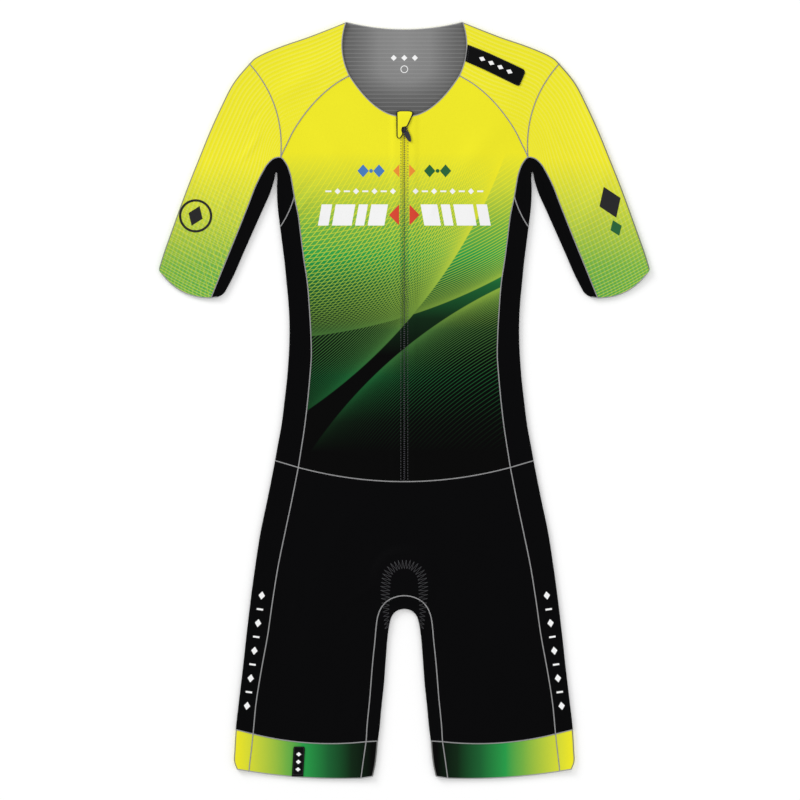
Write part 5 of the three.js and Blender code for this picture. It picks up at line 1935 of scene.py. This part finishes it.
@dataclass
class Sewing:
    """The flatlock seams, the edges' overcast thread and the seat pad's zigzag."""

    line_spacing: float = 2.0
    seam_spacing: float = 2.4
    fold_spacing: float = 1.2
    ribbon_half: float = 0.68
    ribbon_height: float = 0.2
    ribbon_lift: float = 0.02
    needle_offset: float = 0.52
    needle_lift: float = 0.18
    zigzag_step: float = 0.85
    zigzag_lift: float = 0.26
    thread_radius: float = 0.2
    edge_half: float = 0.75
    edge_height: float = 0.32
    edge_spacing: float = 1.4
    pad_pitch: float = 3.1
    pad_lift: float = 0.16
    pad_half: float = 0.3
    pad_height: float = 0.26
    waist_points: int = 140
    neck_points: int = 60
    back_neck_points: int = 90

    def build(self) -> None:
        """Builds all the sewing."""
        bands = band_grid()
        for layer in Layer:
            self.flatlock(f"{layer.value}_seams", self.layer_seams(layer, bands[0]), self.seam_spacing)
        over = [FORMS["yoke"].end_path(-1)]
        over += [FORMS[name].end_path(0) for name in ("side", "shorts_side", "band_outer", "band_inner")]
        self.flatlock("folded_seams", self.both_sides(over), self.fold_spacing)
        neck_x = np.linspace(ZIP_SLIT_HALF, NECK_HALF, self.neck_points)
        halves = [plan_path(np.column_stack([neck_x, neck_y(neck_x)])),
                  FORMS["yoke"].end_path(0), FORMS["underarm"].end_path(0)]
        halves += [plan_path(bands[-1], layer) for layer in Layer]
        halves += [FORMS[name].end_path(-1) for name in ("sleeve", "band_outer", "band_inner")]
        share = np.linspace(-1, 1, self.back_neck_points)
        back_neck = np.column_stack([
            share * YOKE["foldX"][0], BACK_NECK_Y + BACK_NECK_RISE * share ** 2,
            np.full(len(share), BACK_WALL)])
        up = np.tile((0.0, 0.0, 1.0), (len(share), 1))
        self.edges(self.both_sides(halves) + [Path3D(back_neck, up, on_cloth=False)])
        self.pad_zigzag()

    def both_sides(self, halves: Sequence[Path3D]) -> list[Path3D]:
        """Some lines, and the same lines on the suit's other side."""
        return [path for half in halves for path in (half, half.mirrored())]

    def layer_seams(self, layer: Layer, band_top: np.ndarray) -> list[Path3D]:
        """The seams of one layer.

        Args:
            layer: Which layer.
            band_top: The leg band's upper edge, on the wearer's left.

        Returns:
            The seams' lines.
        """
        yoke_seam = YOKE_SEAM if layer is Layer.FRONT else YOKE_BACK_SEAM
        stretches = (
            (yoke_seam, 0, YOKE_KNOTS, RIB_HEIGHT),
            (UNDERARM_LINE, 0, SLEEVE_KNOTS, RIB_HEIGHT),
            (UNDERARM_LINE, SLEEVE_KNOTS, SIDE_KNOTS, 0.0),
            (LEG_SIDE, 0, LEG_KNOTS + BAND_KNOTS, 0.0),
        )
        plans = [(line.at(line.knots(first, last, self.line_spacing)), lift)
                 for line, first, last, lift in stretches]
        plans.append((band_top, 0.0))
        halves = [plan_path(plan * (side.value, 1), layer, lift) for plan, lift in plans for side in Side]
        waist_x = np.linspace(-WAIST_HALF, WAIST_HALF, self.waist_points)
        gusset = GUSSET_SEAM.at(GUSSET_SEAM.knots(0, 2 * MIDDLE_KNOT, self.line_spacing))
        whole = (gusset, np.column_stack([waist_x, waist_y(waist_x)]))
        return halves + [plan_path(plan, layer) for plan in whole]

    def flatlock(self, name: str, paths: Sequence[Path3D], spacing: float) -> None:
        """Builds flat seams: covering thread, two needle lines and a zigzag over them.

        Args:
            name: The piece's name.
            paths: The seams' lines.
            spacing: How far apart the covering thread's points are.
        """
        weave = Weave()
        for path in paths:
            coarse = path.resampled(spacing)
            weave.thread(coarse.shifted(0, self.ribbon_lift), coarse.normals, self.ribbon_half,
                         self.ribbon_height)
            for offset in (-self.needle_offset, self.needle_offset):
                weave.thread(coarse.shifted(offset, self.needle_lift), coarse.normals,
                             self.thread_radius, self.thread_radius)
            fine = path.resampled(self.zigzag_step)
            swing = self.needle_offset * (2 * (np.arange(len(fine.points)) % 2) - 1)
            weave.thread(fine.shifted(swing, self.zigzag_lift), fine.normals, self.thread_radius,
                         self.thread_radius, sides=3)
        place_piece(weave.mesh(name), (SEAM_YARN,), "dark_cloth")

    def edges(self, paths: Sequence[Path3D]) -> None:
        """Builds the grey overcast thread along the suit's open edges.

        Args:
            paths: The edges' lines.
        """
        weave = Weave()
        for path in paths:
            fine = path.resampled(self.edge_spacing)
            weave.thread(fine.shifted(0, 0), fine.normals, self.edge_half, self.edge_height, sides=6)
        place_piece(weave.mesh("edge_yarn"), (EDGE_YARN,), "dark_cloth")

    def pad_zigzag(self) -> None:
        """Builds the zigzag that holds the seat pad, round its two sides and its top."""
        outer, inner = (mirrored_line(points_of(PAD_STITCH, edge)) for edge in ("outer", "inner"))
        knots = outer.knots(0, 2 * (len(PAD_STITCH["outerX"]) - 1), self.pad_pitch)
        far = outer.at(knots)
        near = inner.at(knots)
        swing = (np.arange(len(knots)) % 2)[:, None]
        plan = far * swing + near * (1 - swing)
        path = plan_path(plan).resampled(self.line_spacing)
        weave = Weave()
        weave.thread(path.shifted(0, self.pad_lift), path.normals, self.pad_half, self.pad_height)
        place_piece(weave.mesh("pad_zigzag"), (PAD_YARN,), "padding")


# The zigzag's outer and inner points, from its top down the wearer's left
PAD_STITCH = table("outerX outerY innerX innerY", [
    (0, -210, 0, -223),
    (16, -213.5, 9, -225),
    (27, -224, 15.5, -232),
    (31.7, -243, 17.9, -247),
    (31, -262, 18.5, -263),
    (28.5, -283, 19.5, -281),
    (26, -305, 20, -299),
])


class Shape(Enum):
    """The forms of a printed mark."""

    BLOCK = "block"
    LOZENGE = "lozenge"
    HALF = "half lozenge"
    RING = "ring"


@dataclass(frozen=True)
class Mark:
    """A plain printed mark: its form, ink, middle and size.

    turn is in degrees. slant is a block's lean for each unit up, and hole a ring's inner share.
    """

    shape: Shape
    ink: Yarn
    x: float
    y: float
    width: float
    height: float
    turn: float = 0.0
    slant: float = 0.0
    hole: float = 0.05

    STEP = 2.0
    LEAST_POINTS = 4
    RING_POINTS = 49
    BLUNT_TIP = 0.52

    def plan(self) -> np.ndarray:
        """The mark's outline and inside.

        Returns:
            The grid of plan points that it covers.
        """
        rows, columns = (max(self.LEAST_POINTS, math.ceil(abs(size) / self.STEP))
                         for size in (self.height, self.width))
        v, u = np.meshgrid(np.linspace(-0.5, 0.5, rows), np.linspace(-0.5, 0.5, columns), indexing="ij")
        if self.shape is Shape.LOZENGE:
            x, y = (u + v) * self.width / 2, (v - u) * self.height / 2
        elif self.shape is Shape.HALF:
            x, y = u * self.width, v * self.height * (self.BLUNT_TIP - u)
        elif self.shape is Shape.RING:
            angle, reach = np.meshgrid(np.linspace(0, 2 * math.pi, self.RING_POINTS),
                                       np.linspace(self.hole, 1, self.LEAST_POINTS), indexing="ij")
            x, y = reach * np.cos(angle) * self.width / 2, reach * np.sin(angle) * self.height / 2
        else:
            x, y = u * self.width + self.slant * v * self.height, v * self.height
        turn = math.radians(self.turn)
        return np.dstack([self.x + x * math.cos(turn) - y * math.sin(turn),
                          self.y + x * math.sin(turn) + y * math.cos(turn)])


def ink(name: str, red: float, green: float, blue: float) -> Yarn:
    """A smooth printing ink."""
    return Yarn(f"{name}_ink", colour(red, green, blue), roughness=0.6, twist=0.0)


WHITE_INK = ink("white", 246, 246, 246)
BLUE_INK = ink("blue", 64, 122, 190)
ORANGE_INK = ink("orange", 238, 142, 44)
RED_INK = ink("red", 216, 62, 38)
GREEN_INK = ink("green", 22, 96, 46)
BLACK_INK = ink("black", 18, 18, 20)


@dataclass
class Prints:
    """Plain marks printed on the chest, legs, sleeves, labels and inside the neck."""

    film: float = 0.1
    knit_lift: float = 0.1
    smooth_lift: float = 0.08
    block_y: float = 245.2
    block_height: float = 28.0
    block_slant: float = 0.18
    block_start: float = 24.0
    block_gap: float = 4.6
    block_widths: tuple[float, ...] = (22.0, 12.0, 26.0, 14.0)
    file_y: float = 276.5
    top_x: float = 44.0
    top_y: float = 303.5

    def build(self) -> None:
        """Builds every print, a mesh for each ink and place."""
        self.lay("chest_print", self.chest(), self.knit_lift)
        self.lay("leg_print", self.legs(), self.knit_lift)
        self.lay("sleeve_print", self.sleeves(), RIB_HEIGHT + self.smooth_lift)
        self.lay("badge_print", self.badge(), BADGE_LIFT + self.smooth_lift, slot="label")
        self.lay("tab_print", self.tab(), TAB_LIFT + self.smooth_lift, slot="label")
        self.lay("neck_print", self.neck(), None)

    def lay(self, name: str, marks: Sequence[Mark], lift: float | None,
            slot: str = "bright_cloth") -> None:
        """Makes the marks of one place.

        Args:
            name: The place's name.
            marks: Its marks.
            lift: How far their faces stand over the cloth's top, or None inside the neck.
            slot: The record's material slot.
        """
        for tint in dict.fromkeys(mark.ink for mark in marks):
            weave = Weave()
            for plan in (mark.plan() for mark in marks if mark.ink is tint):
                if lift is None:
                    top = np.full(plan.shape[:2], BACK_WALL + self.smooth_lift)
                else:
                    top = cloth_top(plan[..., 0], plan[..., 1]) + lift
                weave.wall(raised(plan, top), raised(plan, top - self.film))
            place_piece(weave.mesh(f"{name}_{tint.name.split('_')[0]}"), (tint, tint), slot)

    def chest(self) -> list[Mark]:
        """Slanted white blocks either side of the zip, with small marks over them.

        Returns:
            The marks.
        """
        marks = []
        start = self.block_start
        for width in self.block_widths:
            for sign in (-1, 1):
                marks.append(Mark(Shape.BLOCK, WHITE_INK, sign * (start + width / 2), self.block_y,
                                  width, self.block_height, slant=-sign * self.block_slant))
            start += width + self.block_gap
        for k, x in enumerate(np.arange(15, 102, 12.2)):
            for sign in (-1, 1):
                shape, height = (Shape.BLOCK, 2.2) if k % 2 else (Shape.LOZENGE, 8.0)
                marks.append(Mark(shape, WHITE_INK, sign * x, self.file_y, 8.0, height))
        for sign in (-1, 1):
            marks.append(Mark(Shape.HALF, RED_INK, sign * 13.4, self.block_y, sign * 13.0, 27.0))
            marks.append(Mark(Shape.HALF, ORANGE_INK, sign * 10.5, self.top_y, sign * 8.0, 17.0))
        for x, tint in ((-self.top_x, BLUE_INK), (self.top_x, GREEN_INK)):
            for sign in (-1, 1):
                marks.append(Mark(Shape.LOZENGE, tint, x + sign * 10.5, self.top_y, 15.0, 17.0))
            marks.append(Mark(Shape.RING, tint, x, self.top_y, 5.0, 5.0))
        return marks

    def legs(self) -> list[Mark]:
        """A file of small white marks down each leg's side.

        Returns:
            The marks.
        """
        marks = []
        for k, share in enumerate(np.linspace(0, 1, 9)):
            x, y = 188.5 + 19.5 * share, -258 - 146 * share
            shape, height = (Shape.BLOCK, 2.4) if k % 2 else (Shape.LOZENGE, 11.0)
            for sign in (-1, 1):
                marks.append(Mark(shape, WHITE_INK, sign * x, y, 8.5, height, turn=sign * 8))
        return marks

    def sleeves(self) -> list[Mark]:
        """A ring with a lozenge on the right sleeve, and lozenges on the left sleeve.

        Returns:
            The marks.
        """
        return [
            Mark(Shape.RING, BLACK_INK, -276, 244, 44, 44, hole=0.86),
            Mark(Shape.LOZENGE, BLACK_INK, -276, 244, 20, 28, turn=-22),
            Mark(Shape.LOZENGE, BLACK_INK, 272, 262, 30, 44, turn=22),
            Mark(Shape.LOZENGE, GREEN_INK, 280, 228, 16, 22, turn=22),
        ]

    def badge(self) -> list[Mark]:
        """Small white lozenges along the strip on the yoke."""
        return [Mark(Shape.LOZENGE, WHITE_INK, x, y, 9.0, 6.4, turn=-25)
                for x, y in ((103, 451.6), (115, 446.2), (127, 440.6), (139, 434.8))]

    def tab(self) -> list[Mark]:
        """Small white lozenges up the tab on the band."""
        return [Mark(Shape.LOZENGE, WHITE_INK, x, y, 7.0, 6.0, turn=-3)
                for x, y in ((-140.6, -488), (-140.1, -478), (-139.6, -468))]

    def neck(self) -> list[Mark]:
        """A plain ring under three lozenges inside the neck."""
        return [
            Mark(Shape.RING, WHITE_INK, 0, 438, 10, 10, hole=0.8),
            *(Mark(Shape.LOZENGE, WHITE_INK, x, 453, 8.0, 8.0) for x in (-14, 0, 14)),
        ]


@dataclass
class Studio:
    """A pale floor, soft light and the camera over the suit's middle."""

    centre: tuple[float, float] = (-5.7, 0.5)
    frame_width: float = 1058.2
    distance: float = 12.0
    floor_z: float = -0.5
    floor_half: float = 4.0
    floor_white: float = 0.95
    floor_glow: float = 0.05
    room_light: float = 0.78

    # Each lamp's place and size, in metres, and its power
    LAMPS = {
        "key": ((-3.2, 3.0, 2.0), 1.8, 108.0),
        "fill": ((1.9, -1.2, 1.5), 1.6, 9.0),
    }

    def build(self) -> None:
        """Builds the floor, the lights and the camera."""
        self.build_floor()
        self.build_lights()
        self.build_camera()

    def build_floor(self) -> None:
        """The floor's plane and its near-white finish."""
        half = self.floor_half
        data = bpy.data.meshes.new("floor")
        corners = [(-half, -half, 0), (half, -half, 0), (half, half, 0), (-half, half, 0)]
        data.from_pydata(corners, [], [(0, 1, 2, 3)])
        floor = bpy.data.objects.new("floor", data)
        floor.location.z = self.floor_z * METRE
        bpy.context.scene.collection.objects.link(floor)
        finish = bpy.data.materials.new("floor_white")
        finish.use_nodes = True
        surface = finish.node_tree.nodes["Principled BSDF"]
        surface.inputs["Base Color"].default_value = (*[self.floor_white] * 3, 1)
        surface.inputs["Emission Color"].default_value = (1, 1, 1, 1)
        surface.inputs["Emission Strength"].default_value = self.floor_glow
        surface.inputs["Roughness"].default_value = 0.9
        surface.inputs["Specular IOR Level"].default_value = 0.0
        data.materials.append(finish)

    def build_lights(self) -> None:
        """A bright room, a low key light and a soft fill."""
        world = bpy.data.worlds.new("room")
        world.use_nodes = True
        sky = world.node_tree.nodes["Background"]
        sky.inputs["Color"].default_value = (1.0, 1.0, 1.0, 1)
        sky.inputs["Strength"].default_value = self.room_light
        bpy.context.scene.world = world
        for name, (spot, size, power) in self.LAMPS.items():
            lamp = bpy.data.lights.new(name, "AREA")
            lamp.size = size
            lamp.energy = power
            holder = bpy.data.objects.new(name, lamp)
            holder.location = spot
            holder.rotation_euler = Vector(spot).to_track_quat("Z", "Y").to_euler()
            bpy.context.scene.collection.objects.link(holder)

    def build_camera(self) -> None:
        """A long lens straight above."""
        data = bpy.data.cameras.new("camera")
        data.sensor_fit = "HORIZONTAL"
        data.lens = data.sensor_width * self.distance / (self.frame_width * METRE)
        data.clip_end = 4 * self.distance
        camera = bpy.data.objects.new("camera", data)
        camera.location = (self.centre[0] * METRE, self.centre[1] * METRE, self.distance)
        bpy.context.scene.collection.objects.link(camera)
        bpy.context.scene.camera = camera
        bpy.context.scene.view_settings.view_transform = "Standard"


def main() -> None:
    """Builds the suit round the frame, and the studio."""
    logging.basicConfig(level=logging.INFO, format="%(name)s: %(message)s")
    suit = (Torso(), Shoulders(), Sides(), Shorts(), LegBands(), Zip(), Labels(), Sewing(), Prints())
    for assembly in (*suit, Studio()):
        log.info("building %s", type(assembly).__name__)
        assembly.build()


if __name__ == "__main__":
    main()
